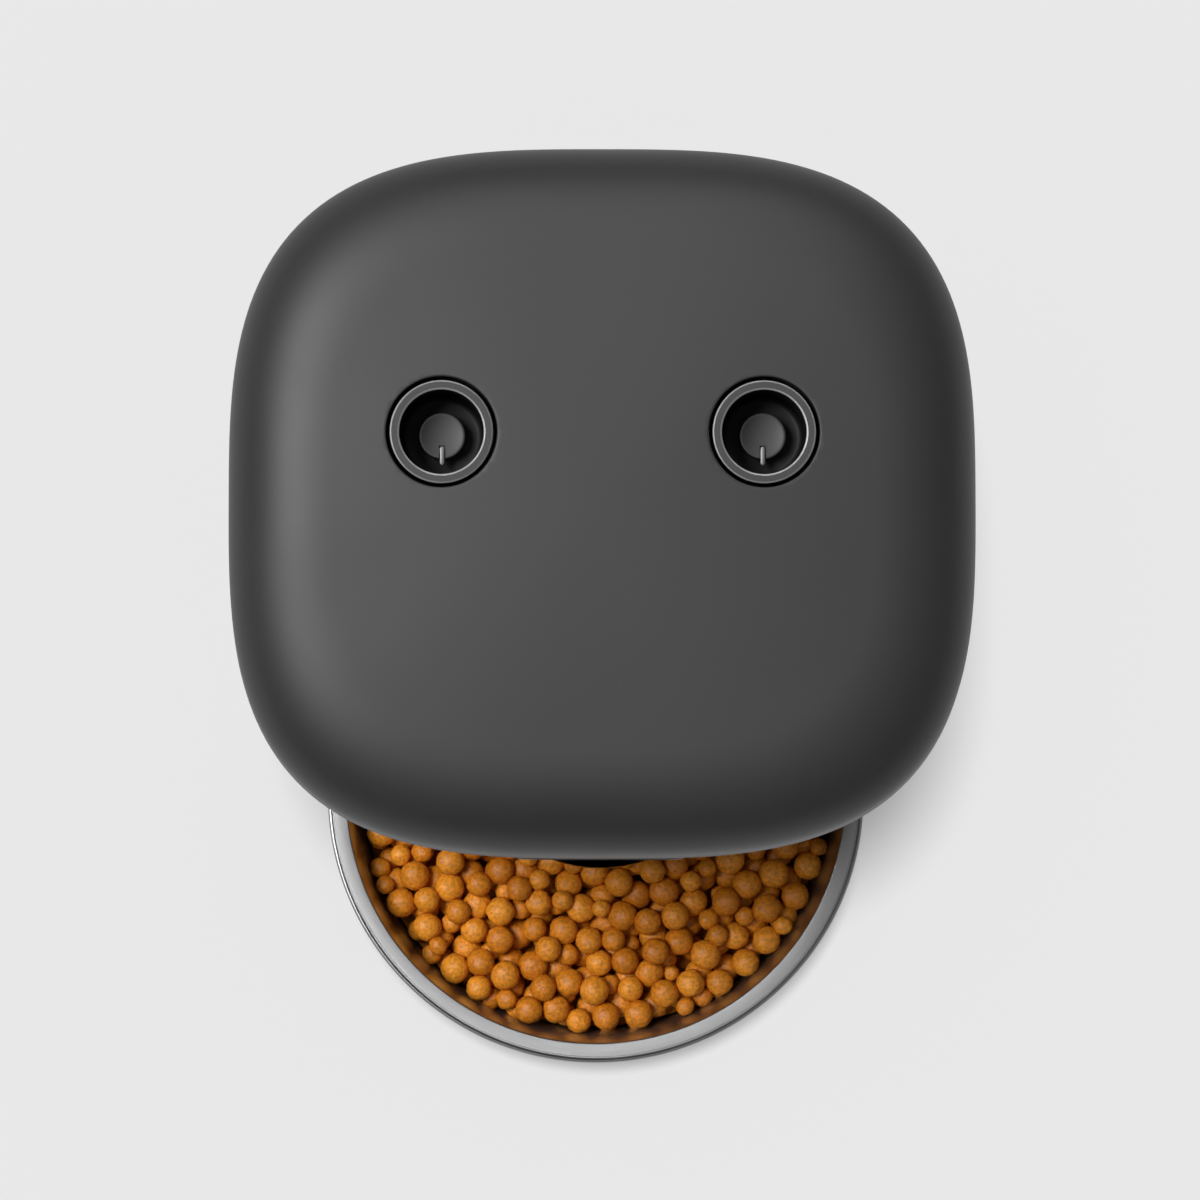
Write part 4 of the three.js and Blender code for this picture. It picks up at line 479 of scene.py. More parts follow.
pointer_slot_height = 4 * mm
metal_mottle_size = 6 * mm
metal_gloss_swing = 0.06

flange_plastic = moulded_plastic("flange_satin", (0.03, 0.03, 0.031), 0.42, 0.3 * mm, 0.004 * mm)
# Near-black and dull below the flange. This is the cup's own black plastic, made darker and less glossy as
# painted shade of the deep well.
cup_painted_shade = moulded_plastic("cup_black_painted_shade", (0.005, 0.005, 0.0055), 0.5, 0.3 * mm, 0.006 * mm, specular=0.2)
cap_plastic = moulded_plastic("cap_black", (0.024, 0.024, 0.025), 0.42, 0.3 * mm, 0.003 * mm)


def satin_metal(name, colour, roughness, scratch_size=0.15 * mm, scratch_depth=0.002 * mm):
    """Bare metal with a fine tumbled surface."""
    material, tree, shader = new_material(name, colour, roughness)
    shader.inputs["Metallic"].default_value = 1
    grain = add_grain(tree, scratch_size, metal_mottle_size)
    add_bump(tree, shader, grain["Height"], scratch_depth)
    vary_gloss(tree, shader, grain["Mottle"], roughness, metal_gloss_swing)
    return material


pointer_metal = satin_metal("pointer_metal", (0.17, 0.17, 0.175), 0.5)
# Bright metal on the cup's chamfers is a painted highlight. It stands for the light caught on the chamfers.
chamfer_painted_highlight = satin_metal("chamfer_painted_highlight", (0.85, 0.85, 0.85), 0.46)


def arc(centre_radius, centre_height, radius, start, end, steps):
    """Points of radius and height along an arc, with its angles in degrees."""
    turns = [math.radians(start + (end - start) * step / steps) for step in range(steps + 1)]
    return [(centre_radius + radius * math.cos(turn), centre_height + radius * math.sin(turn))
            for turn in turns]


def block(size, middle):
    bm = bmesh.new()
    bmesh.ops.create_cube(bm, size=1)
    bmesh.ops.scale(bm, verts=bm.verts, vec=size)
    bmesh.ops.translate(bm, verts=bm.verts, vec=middle)
    return bm


def lock_cup(place):
    """The cup, with satin plastic on its flange, near-black plastic below it that also paints the well's
    shade, and bright metal on its chamfers that paints their highlights.
    """
    profile = [
        (0, cup_bottom),
        (cup_outer_radius, cup_bottom),
        (cup_outer_radius, cup_top - cup_flange_height),
        (cup_flange_radius, cup_top - cup_flange_height),
        (cup_flange_radius, cup_top - cup_chamfer_height - cup_edge),
        (cup_flange_radius - cup_edge, cup_top - cup_chamfer_height),
        (cup_flange_radius - cup_outer_chamfer, cup_top),
        (cup_ring_inner, cup_top),
        (cup_mouth_radius + cup_edge, cup_top - cup_chamfer_height),
        (cup_mouth_radius, cup_top - cup_chamfer_height - cup_edge),
        *arc(cup_mouth_radius - cup_fillet, cup_floor + cup_fillet, cup_fillet, 0, -90, 6),
        (post_radius, cup_floor),
        (post_radius, post_high),
        (0, post_high),
    ]
    bm = turned(profile, 128, place)
    bm.normal_update()
    # Chamfer faces within the given slope get the bright metal of the painted highlight.
    for face in bm.faces:
        if face.calc_center_median().z < cup_top - cup_chamfer_height - cup_edge:
            face.material_index = 1
        elif painted_highlight_slope[0] < face.normal.z < painted_highlight_slope[1]:
            face.material_index = 2
    return bm


def lock_cap(place):
    dish_radius = cap_radius - 2 * cap_edge
    sphere = (dish_radius ** 2 + cap_dish_depth ** 2) / (2 * cap_dish_depth)
    spread = math.degrees(math.asin(dish_radius / sphere))
    profile = [
        (0, cap_low),
        (cap_radius - cap_edge, cap_low),
        (cap_radius, cap_low + cap_edge),
        *arc(cap_radius - cap_edge, cap_rim_high - cap_edge, cap_edge, 0, 90, 4),
        *arc(0, cap_rim_high - cap_dish_depth + sphere, sphere, -90 + spread, -90, 16),
    ]
    return turned(profile, 96, place)


def lock_pointer(place):
    """A blade with a round inner end, a pointed outer end and softened upper edges."""
    bm = bmesh.new()
    inner = -pointer_inner - pointer_half_width
    outline = [(pointer_half_width * math.cos(math.pi * step / 10), inner + pointer_half_width
                * math.sin(math.pi * step / 10)) for step in range(11)]
    outline += [(-pointer_half_width, pointer_half_width - pointer_outer), (0, -pointer_outer),
                (pointer_half_width, pointer_half_width - pointer_outer)]
    face = bm.faces.new([bm.verts.new((x, y, pointer_low)) for x, y in outline])
    grown = bmesh.ops.extrude_face_region(bm, geom=[face])["geom"]
    lifted = [item for item in grown if isinstance(item, bmesh.types.BMVert)]
    bmesh.ops.translate(bm, verts=lifted, vec=(0, 0, pointer_high - pointer_low))
    bmesh.ops.recalc_face_normals(bm, faces=bm.faces)
    upper = [edge for edge in bm.edges if all(vert in lifted for vert in edge.verts)]
    bmesh.ops.bevel(bm, geom=upper, offset=pointer_edge, segments=2, profile=0.5, material=-1, affect="EDGES")
    bmesh.ops.translate(bm, verts=bm.verts, vec=place)
    return bm


for side, sign in (("left", -1), ("right", 1)):
    lock_place = (sign * lock_x, lock_y, 0)
    cup = make_piece(side + "_cup", lock_cup(lock_place), flange_plastic)
    cup.data.materials.append(cup_painted_shade)
    cup.data.materials.append(chamfer_painted_highlight)
    seated(cup, side + "_lock", "graphite_plastic", side + "_lock_cup")
    cap = make_piece(side + "_cap", lock_cap(lock_place), cap_plastic)
    slot_cutter = block((2 * pointer_half_width + pointer_slot_play, pointer_outer, pointer_slot_height),
                        (sign * lock_x, lock_y - pointer_inner + pointer_slot_gap - pointer_outer / 2,
                         pointer_low - pointer_slot_gap + pointer_slot_height / 2))
    shaped_by(cap, slot_cutter, "DIFFERENCE")
    seated(cap, side + "_lock", "graphite_plastic", side + "_lock_cap")
    pointer = make_piece(side + "_pointer", lock_pointer(lock_place), pointer_metal)
    seated(pointer, side + "_lock", "pointer_metal", side + "_lock_pointer")

# Bowl: spun from 1 mm stainless sheet, with a flat brushed rim that ends in a narrow groove and
# a rolled bead. The brushing runs round the bowl.
bowl_low, bowl_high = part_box("bowl")
bowl_radius = (bowl_high.x - bowl_low.x) / 2
bowl_bottom = bowl_low.z
bowl_floor_radius = 58 * mm
bowl_heel = 8 * mm
bowl_sheet = 1 * mm
rim_height = bowl_high.z
rim_inner = 78.9 * mm
rim_round = 0.6 * mm
groove_depth = 0.45 * mm
bead_radius = 0.85 * mm
streaks_per_metre = 9000
streaks_per_radian = 9
brushing_depth = 0.004 * mm
brushing_swing = 0.1


def box_axis(low, high):
    """Where a box's upright axis meets the table."""
    return Vector(((low.x + high.x) / 2, (low.y + high.y) / 2, 0))


def brushed_steel(name, centre, colour, roughness):
    """Steel brushed round an upright axis through a centre."""
    material, tree, shader = new_material(name, colour, roughness)
    shader.inputs["Metallic"].default_value = 1
    place = add_node(tree, "ShaderNodeTexCoord").outputs["Object"]
    centred = add_node(tree, "ShaderNodeMapping", {"Vector": place, "Location": (-centre.x, -centre.y, 0)})
    parts = add_node(tree, "ShaderNodeSeparateXYZ", {"Vector": centred.outputs["Vector"]}).outputs
    flat = add_node(tree, "ShaderNodeCombineXYZ", {"X": parts["X"], "Y": parts["Y"]})
    radius = add_node(tree, "ShaderNodeVectorMath", {0: flat.outputs["Vector"]}, operation="LENGTH")
    turn = add_node(tree, "ShaderNodeMath", {0: parts["Y"], 1: parts["X"]}, operation="ARCTAN2")
    streaks_at = add_node(tree, "ShaderNodeCombineXYZ")
    for source, per_unit, target in ((radius.outputs["Value"], streaks_per_metre, "X"),
                                     (turn.outputs[0], streaks_per_radian, "Y"),
                                     (parts["Z"], streaks_per_metre, "Z")):
        scaled = add_node(tree, "ShaderNodeMath", {0: source, 1: per_unit}, operation="MULTIPLY")
        fill_inputs(tree, streaks_at, {target: scaled.outputs[0]})
    streaks = add_node(tree, "ShaderNodeTexNoise",
                       {"Scale": 1, "Detail": 2, "Vector": streaks_at.outputs["Vector"]}).outputs["Fac"]
    add_bump(tree, shader, streaks, brushing_depth)
    vary_gloss(tree, shader, streaks, roughness, brushing_swing)
    vary_colour(tree, shader, streaks, colour, brushing_swing)
    return material


bowl_centre = box_axis(bowl_low, bowl_high)
bowl_steel = brushed_steel("bowl_steel", bowl_centre, (0.47, 0.47, 0.47), 0.35)
bead_middle = bowl_radius - bead_radius
bowl_profile = [
    (0, bowl_bottom),
    (bowl_floor_radius, bowl_bottom),
    *arc(bowl_floor_radius, bowl_bottom + bowl_heel, bowl_heel, -80, -20, 5),
    (74.6 * mm, 32 * mm),
    (77.6 * mm, 50 * mm),
    (79.1 * mm, rim_height - 1.4 * mm),
    (80.2 * mm, rim_height - bowl_sheet),
    (bead_middle - bead_radius, rim_height - bowl_sheet),
    *arc(bead_middle, rim_height - bead_radius, bead_radius, -160, 90, 10),
    (bead_middle - 0.85 * bead_radius, rim_height - groove_depth),
    (bead_middle - 1.15 * bead_radius, rim_height - groove_depth),
    (bead_middle - 1.35 * bead_radius, rim_height - 0.05 * mm),
    *arc(rim_inner, rim_height - rim_round, rim_round, 90, 165, 5),
    (76.6 * mm, 50.2 * mm),
    (73.6 * mm, 32.4 * mm),
    *arc(57.6 * mm, bowl_bottom + bowl_sheet + bowl_heel, bowl_heel, -20, -90, 5),
    (0, bowl_bottom + bowl_sheet),
]
bowl = make_piece("steel_bowl", turned(bowl_profile, 192, bowl_centre), bowl_steel)
seated(bowl, "bowl", "bowl_steel", "bowl")

# Food: round baked pellets of 5 to 10 mm, most of them over 7, lumpy and a little flattened,
# dropped one by one so that each rests on the ones below it. A brown bed, darker than the pellets
# as painted shade of the deeper layers, closes the gaps under the lowest layer.
pellet_count = 1000
pellet_variants = 8
pellet_radii = (3.8 * mm, 4.9 * mm)
small_pellet_radii = (2.6 * mm, 3.6 * mm)
small_pellet_share = 0.24
edge_pellet_share = 0.35
pellet_flatness = 0.93
lump_scale, lump_height = 1.6, 0.09
pit_scale, pit_height = 4.2, 0.035
largest_tip = 0.7
pellet_wall_gap = 0.3 * mm
within_reach = 0.999
drops_refused = 330
food_floor = 33.5 * mm
food_edge_height = 45.5 * mm
food_crown = 5.5 * mm
drop_tries = 14
roll_tries = 40
food_random = random.Random(11)


def bowl_inner_radius(height):
    low, high = (32.4 * mm, 73.6 * mm), (59.2 * mm, 78.1 * mm)
    return low[1] + (high[1] - low[1]) * (height - low[0]) / (high[0] - low[0])


def pellet_reach(radius):
    """How far from the bowl's axis a pellet of a radius can lie."""
    return bowl_inner_radius(food_edge_height) - radius - pellet_wall_gap


def pellet_shape(number):
    """A quad sphere pushed in and out by broad noise, and flattened a little."""
    bm = bmesh.new()
    bmesh.ops.create_cube(bm, size=1)
    bmesh.ops.subdivide_edges(bm, edges=bm.edges, cuts=3, use_grid_fill=True)
    for vert in bm.verts:
        direction = vert.co.normalized()
        lumps = noise.noise(direction * lump_scale + Vector((number * 7.3, 0, 0)))
        pits = noise.noise(direction * pit_scale + Vector((0, number * 5.1, 0)))
        vert.co = direction * (1 + lump_height * lumps + pit_height * pits)
        vert.co.z *= pellet_flatness
    mesh = bpy.data.meshes.new("pellet")
    bm.to_mesh(mesh)
    bm.free()
    return mesh


def rest_height(x, y, radius, placed):
    height = food_floor + radius
    for other_x, other_y, other_z, other_radius in placed:
        reach = pellet_flatness * (radius + other_radius)
        gap = (x - other_x) ** 2 + (y - other_y) ** 2
        if gap < reach * reach:
            height = max(height, other_z + math.sqrt(reach * reach - gap))
    return height


def pellets_near(x, y, cells, cell):
    column, row = int(x // cell), int(y // cell)
    return [item for i in (-1, 0, 1) for j in (-1, 0, 1) for item in cells.get((column + i, row + j), ())]


def heap_level(x, y, radius, cells, cell):
    """Height where a pellet comes to rest, and the same with the heap's crown taken away."""
    reach = pellet_reach(radius)
    distance = math.hypot(x, y)
    if distance > reach:
        return None
    height = rest_height(x, y, radius, pellets_near(x, y, cells, cell))
    return height, height - food_crown * (1 - (distance / reach) ** 2)


def dropped_pellets():
    placed = []
    cells = {}
    cell = 2 * pellet_radii[1]
    skipped = 0
    while len(placed) < pellet_count and skipped < drops_refused:
        smallest, largest = small_pellet_radii if food_random.random() < small_pellet_share else pellet_radii
        radius = smallest + (largest - smallest) * math.sqrt(food_random.random())
        reach = pellet_reach(radius)
        best = None
        for attempt in range(drop_tries):
            at_edge = food_random.random() < edge_pellet_share
            distance = reach * (within_reach * (1 if at_edge else math.sqrt(food_random.random())))
            turn = food_random.random() * math.tau
            x, y = distance * math.cos(turn), distance * math.sin(turn)
            height, level = heap_level(x, y, radius, cells, cell)
            if best is None or level < best[3]:
                best = (x, y, height, level)
        for roll in range(roll_tries):
            step = radius * (1 - roll / roll_tries)
            x = best[0] + step * (food_random.random() - 0.5)
            y = best[1] + step * (food_random.random() - 0.5)
            rest = heap_level(x, y, radius, cells, cell)
            if rest and rest[1] < best[3]:
                best = (x, y, *rest)
        if best[3] > food_edge_height:
            skipped += 1
            continue
        pellet = (*best[:3], radius)
        placed.append(pellet)
        cells.setdefault((int(best[0] // cell), int(best[1] // cell)), []).append(pellet)
    return placed


def food_material():
    """Baked crumb: brown that differs from pellet to pellet, speckled, wrinkled and finely pitted."""
    material, tree, shader = new_material("baked_crumb", (0.3, 0.12, 0.03), 0.45)
    tone = add_node(tree, "ShaderNodeAttribute", attribute_name="bake").outputs["Fac"]
    place = add_node(tree, "ShaderNodeTexCoord").outputs["Object"]
    crumb = add_node(tree, "ShaderNodeTexNoise",
                     {"Scale": 900, "Detail": 6, "Roughness": 0.65, "Vector": place}).outputs["Fac"]
    bake = add_node(tree, "ShaderNodeValToRGB", {"Fac": tone})
    bake.color_ramp.elements[0].color = (0.58, 0.18, 0.006, 1)
    bake.color_ramp.elements[1].color = (0.84, 0.31, 0.02, 1)
    speckle = add_node(tree, "ShaderNodeMapRange", {"From Min": 0.32, "From Max": 0.62, "To Min": 0.55,
                                                    "To Max": 1.15, "Value": crumb})
    crust = add_node(tree, "ShaderNodeMix",
                     {"Factor": 1, "A": bake.outputs["Color"], "B": speckle.outputs["Result"]},
                     data_type="RGBA", blend_type="MULTIPLY")
    fill_inputs(tree, shader, {"Base Color": crust.outputs["Result"]})
    wrinkle = add_node(tree, "ShaderNodeTexNoise", {"Scale": 330, "Detail": 1, "Vector": place},
                       noise_type="RIDGED_MULTIFRACTAL").outputs["Fac"]
    for field, depth in ((wrinkle, 0.4 * mm), (crumb, 0.3 * mm)):
        add_bump(tree, shader, field, depth, strength=0.8)
    return material


food_bm = bmesh.new()
bake_layer = food_bm.verts.layers.float.new("bake")
variants = [pellet_shape(number) for number in range(pellet_variants)]
for x, y, height, radius in dropped_pellets():
    start = len(food_bm.verts)
    food_bm.from_mesh(food_random.choice(variants))
    food_bm.verts.ensure_lookup_table()
    fresh = food_bm.verts[start:]
    spin = Matrix.Rotation(food_random.random() * math.tau, 4, "Z")
    tip = Matrix.Rotation(food_random.random() * largest_tip, 4, "X")
    place = Matrix.Translation(bowl_centre + Vector((x, y, height)))
    bmesh.ops.transform(food_bm, verts=fresh, matrix=place @ spin @ tip @ Matrix.Scale(radius, 4))
    bake_value = food_random.random()
    for vert in fresh:
        vert[bake_layer] = bake_value
baked_crumb = food_material()
food = make_piece("food_pellets", food_bm, baked_crumb, 180)
seated(food, "bowl", "dry_food", "kibble_fill")

food_bed_low = bowl_bottom + 1.4 * mm
food_bed_profile = [
    (0, food_bed_low),
    (56.8 * mm, food_bed_low),
    (64 * mm, 15.2 * mm),
    (72.6 * mm, 32 * mm),
    (73 * mm, food_floor),
    (0, food_floor),
]
# The bed has the food's brown at about half the pellets' brightness. This is painted shade in the gaps
# between pellets.
crumb_bed_painted_shade = moulded_plastic("crumb_bed_painted_shade", (0.3, 0.09, 0.006), 0.8, 1.5 * mm, 0.5 * mm, 0.4, 0.1)
food_bed = make_piece("food_bed", turned(food_bed_profile, 96, bowl_centre), crumb_bed_painted_shade)
seated(food_bed, "bowl", "dry_food")

# Head: the deep drafted housing round the hopper, moulded in the same graphite ABS, with a
# rounded lower edge and openings for the camera, the button, the speaker and the light.
head_seam_gap = 0.3 * mm
head_lower_round = 1.2 * mm
head_levels_count = 30
camera_height = 236 * mm
controls_height = 186 * mm
camera_hole_radius = 22.4 * mm
button_hole_radius = 8 * mm
grille_centre_x = -29 * mm
grille_half = (13 * mm, 7 * mm)
grille_corner = 1.5 * mm
light_centre_x = 29 * mm
light_half = (8 * mm, 1.6 * mm)
light_corner = 1.2 * mm
insert_gap = 0.3 * mm
wall_cut = 12 * mm
button_cut = 10 * mm
camera_tilt = math.atan(head_draft / (parting_height - head_bottom))


def head_inset(height):
    return head_draft * max(0, parting_height - height) / (parting_height - head_bottom)


def head_level(height, inset=0):
    return body_level(head_inset(height) + inset, height)


def head_front_y(height):
    return body_centre_y - body_half_depth + head_inset(height)


def into_wall(profile, place, tilt=0, steps=96):
    """A turned piece whose axis runs into the front wall, from a profile of radius and depth."""
    bm = turned(profile, steps)
    turn = Matrix.Rotation(tilt - math.pi / 2, 4, "X")
    bmesh.ops.transform(bm, verts=bm.verts, matrix=Matrix.Translation(place) @ turn)
    return bm


def rod(radius, length):
    return cylinder(radius, -length, length)


def rounded_slab(half_x, half_z, corner, place, depth):
    """A closed slab with rounded corners that stands across the front wall."""
    bm = block((2 * half_x, 2 * depth, 2 * half_z), (0, 0, 0))
    upright = [edge for edge in bm.edges if abs(edge.verts[0].co.y - edge.verts[1].co.y) > depth]
    bmesh.ops.bevel(bm, geom=upright, offset=corner, segments=6, profile=0.5, material=-1, affect="EDGES")
    bmesh.ops.translate(bm, verts=bm.verts, vec=place)
    return bm


head_top = parting_height - head_seam_gap
head_span = head_top - head_bottom
head_wall_levels = [head_level(head_bottom + head_lower_round + (head_span - 2 * head_lower_round)
                               * step / head_levels_count) for step in range(head_levels_count + 1)]
lower_round = [head_level(head_bottom + head_lower_round * (1 - math.cos(turn)),
                          head_lower_round * (1 - math.sin(turn)))
               for turn in [math.pi / 2 * step / 5 for step in range(5)]]
head_outside = [
    *lower_round,
    *head_wall_levels,
    head_level(head_top - 0.3 * lid_seam_round, 0.3 * lid_seam_round),
    head_level(head_top, lid_seam_round),
]
head_inside = [head_level(head_top, shell_wall), head_level(285.2 * mm, shell_wall),
               head_level(165 * mm, shell_wall), head_level(head_bottom, shell_wall)]
head = make_piece("head_housing", outline_skin([*head_outside, *head_inside], closed=False), graphite)
front_y = head_front_y(controls_height)
camera_at = (0, head_front_y(camera_height), camera_height)
button_at = (0, front_y, controls_height)
shaped_by(head, into_wall(rod(camera_hole_radius, wall_cut), camera_at, camera_tilt), "DIFFERENCE")
shaped_by(head, into_wall(rod(button_hole_radius, button_cut), button_at), "DIFFERENCE")
for centre_x, half, corner in ((grille_centre_x, grille_half, grille_corner),
                               (light_centre_x, light_half, light_corner)):
    window = rounded_slab(half[0] + insert_gap, half[1] + insert_gap, corner + insert_gap,
                          (centre_x, front_y, controls_height), wall_cut)
    shaped_by(head, window, "DIFFERENCE")
seated(head, "stand", "graphite_plastic", "head_shell")

# Camera: a satin bezel ring round a domed window of dark polished plastic, which stands proud of
# the wall, and the lens barrel behind its mask. All three face slightly down, as the wall does.
# The window is dark metal with a black edge tint, so it reflects a little straight on and next to
# nothing until its very edge. This is painted shade that keeps the dome black seen from above.
window_radius = 20.3 * mm
window_sphere = 40 * mm
window_wall = 1.6 * mm
window_proud = 3.4 * mm
bezel_inner = 20.6 * mm
bezel_radius = 22.1 * mm
bezel_flange_radius = 24 * mm
bezel_front = 0.7 * mm
bezel_back = 0.3 * mm
bezel_edge = 0.3 * mm
mask_front = 4.74 * mm
mask_back = 5.93 * mm
lens_radius = 7.5 * mm
lens_base_radius = 10 * mm
lens_front = 0.6 * mm
lens_hollow = 1.4 * mm
lens_back = 14 * mm

plain_black = moulded_plastic("plain_black", (0.012, 0.012, 0.0125), 0.42)
dark_gloss = moulded_plastic("dark_gloss", (0.035, 0.035, 0.038), 0.07, 2 * mm, 0, 0)
# Metal with a black edge tint takes away the window's bright grazing reflection. This is painted shade.
fill_inputs(dark_gloss.node_tree, dark_gloss.node_tree.nodes["Principled BSDF"],
            {"Metallic": 1, "Specular Tint": (0, 0, 0, 1)})
lens_coat = moulded_plastic("lens_coat", (0.006, 0.006, 0.012), 0.06, 2 * mm, 0, 0, 0.6)
bezel_profile = [
    (bezel_inner, -bezel_front + bezel_edge),
    (bezel_inner + bezel_edge, -bezel_front),
    *arc(bezel_flange_radius - bezel_edge, -bezel_front + bezel_edge, bezel_edge, -90, 0, 4),
    (bezel_flange_radius, -bezel_back),
    (bezel_radius, -bezel_back),
    (bezel_radius, mask_back),
    (bezel_inner, mask_back),
]
dome_depth = window_sphere - window_proud
dome_spread = math.degrees(math.asin(window_radius / window_sphere))
inner_spread = math.degrees(math.asin((window_radius - window_wall) / (window_sphere - window_wall)))
dome_profile = [
    (0, -window_proud),
    *arc(0, dome_depth, window_sphere, -90, -90 + dome_spread, 24)[1:],
    *arc(0, dome_depth, window_sphere - window_wall, -90 + inner_spread, -90, 16)[:-1],
    (0, window_wall - window_proud),
]
lens_profile = [
    (0, lens_front + lens_hollow),
    (0.5 * lens_radius, lens_front + 0.6 * lens_hollow),
    (0.8 * lens_radius, lens_front + 0.2 * lens_hollow),
    (lens_radius - bezel_edge, lens_front),
    (lens_radius, lens_front + bezel_edge),
    (lens_radius, mask_front),
    (window_radius, mask_front),
    (window_radius, mask_back),
    (lens_base_radius, mask_back),
    (lens_base_radius, lens_back),
    (0, lens_back),
]
bezel = make_piece("camera_ring", into_wall(bezel_profile, camera_at, camera_tilt, 128), graphite)
seated(bezel, "stand", "graphite_plastic", "camera_bezel")
dome = make_piece("camera_dome", into_wall(dome_profile, camera_at, camera_tilt, 128), dark_gloss)
seated(dome, "stand", "window_plastic", "camera_window")
barrel = make_piece("camera_barrel", into_wall(lens_profile, camera_at, camera_tilt), lens_coat)
seated(barrel, "stand", "lens", "camera_lens")

# Controls: a dished feed button, the speaker's slotted grille and the status light's milky bar.
# Grille and light follow the curve of the wall, just below its face.
button_radius = 7.6 * mm
button_proud = 0.6 * mm
button_edge = 0.7 * mm
button_flange = (9.4 * mm, 3.4 * mm, 4.8 * mm)
insert_recess = 0.2 * mm
light_depth = 5 * mm
slot_count = 5
slot_half = (0.9 * mm, 5 * mm)
slot_corner = 0.85 * mm
insert_cut = 15 * mm

light_milky = moulded_plastic("light_milky", (0.72, 0.78, 0.8), 0.3)
button_profile = [
    (0, 0.5 * button_edge - button_proud),
    (0.5 * button_radius, 0.3 * button_edge - button_proud),
    (0.75 * button_radius, 0.1 * button_edge - button_proud),
    *arc(button_radius - button_edge, button_edge - button_proud, button_edge, -90, 0, 6),
    (button_radius, button_flange[1]),
    (button_flange[0], button_flange[1]),
    (button_flange[0], button_flange[2]),
    (0, button_flange[2]),
]
button = make_piece("round_button", into_wall(button_profile, button_at), graphite)
seated(button, "button", "graphite_plastic", "feed_button")


def wall_insert(name, centre_x, half, corner, depth, material):
    """A piece cut out of the body's own wall by a rounded window."""
    low, high = controls_height - 2 * half[1], controls_height + 2 * half[1]
    levels = [head_level(low, insert_recess), head_level(high, insert_recess),
              head_level(high, depth), head_level(low, depth)]
    piece = make_piece(name, outline_skin(levels, closed=False), material)
    window = rounded_slab(*half, corner, (centre_x, front_y, controls_height), insert_cut)
    shaped_by(piece, window, "INTERSECT")
    return piece


grille = wall_insert("slotted_grille", grille_centre_x, grille_half, grille_corner, shell_wall, plain_black)
for number in range(slot_count):
    slot_x = grille_centre_x + grille_half[0] * (2 * (number + 1) / (slot_count + 1) - 1)
    slot_slab = rounded_slab(*slot_half, slot_corner, (slot_x, front_y, controls_height), insert_cut)
    shaped_by(grille, slot_slab, "DIFFERENCE")
seated(grille, "stand", "black_plastic", "speaker_grille")
light_bar = wall_insert("light_bar", light_centre_x, light_half, light_corner, light_depth, light_milky)
seated(light_bar, "stand", "light_guide", "status_light")

# Column: the drafted wall round the back and both arms, whose noses turn into the alcove, with
# an opening for the batteries and a hole for the power inlet.
column_bottom = 8.3 * mm
column_top = 156.7 * mm
column_draft = 1.3 * mm
column_foot_round = 0.8 * mm
alcove_radius = 89 * mm
alcove_wall = 2.6 * mm
arm_reach = 30 * mm
arm_end_y = bowl_centre.y + arm_reach
inlet_height = 103.7 * mm
inlet_hole_radius = 4.9 * mm
cover_gap = 0.4 * mm
cover_corner = 2.5 * mm
cover_low, cover_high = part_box("battery_cover")


def column_inset(height):
    return head_draft + column_draft * (head_bottom - height) / (head_bottom - column_bottom)


def corner_point(turn, half_width, half_depth, centre_y, height):
    """A point of the body's kind of rounded square, with its points closer together at the corners."""
    across, along = math.cos(turn), math.sin(turn)
    return Vector((math.copysign(half_width * abs(across) ** (2 / corner_power), across),
                   centre_y + math.copysign(half_depth * abs(along) ** (2 / corner_power), along), height))


def stand_outline(height, inset=0, outer_steps=160, nose_steps=14, alcove_steps=120):
    """Outline of the stand: round the back from arm to arm, and back along the alcove."""
    inside = column_inset(height) + inset
    half_width, half_depth = body_half_width - inside, body_half_depth - inside
    inner_radius = alcove_radius + inset
    start = -math.asin(abs((arm_end_y - body_centre_y) / half_depth) ** (corner_power / 2))
    outer = [corner_point(start + (math.pi - 2 * start) * step / outer_steps, half_width, half_depth,
                          body_centre_y, height) for step in range(outer_steps + 1)]
    inner_x = math.sqrt(inner_radius ** 2 - arm_reach ** 2)
    nose_radius = (outer[0].x - inner_x) / 2
    nose = [(nose_radius * math.cos(turn), arm_end_y + nose_radius * math.sin(turn))
            for turn in [math.pi + math.pi * step / nose_steps for step in range(1, nose_steps)]]
    left_nose, right_nose = ([Vector((side * (outer[0].x + inner_x) / 2 + x, y, height)) for x, y in nose]
                             for side in (-1, 1))
    first, last = math.atan2(arm_reach, -inner_x), math.atan2(arm_reach, inner_x)
    turns = [first + (last - first) * step / alcove_steps for step in range(alcove_steps + 1)]
    alcove = [Vector((inner_radius * math.cos(turn), bowl_centre.y + inner_radius * math.sin(turn), height))
              for turn in turns]
    return outer + left_nose + alcove + right_nose


def bowl_drum(radius, low, high):
    return turned(cylinder(radius, low, high), 192, (0, bowl_centre.y, 0))


def cover_slab(gap):
    middle = (cover_low + cover_high) / 2
    half = (cover_high - cover_low) / 2
    return rounded_slab(half.x + gap, half.z + gap, cover_corner + gap, (0, cover_high.y, middle.z), 25 * mm)


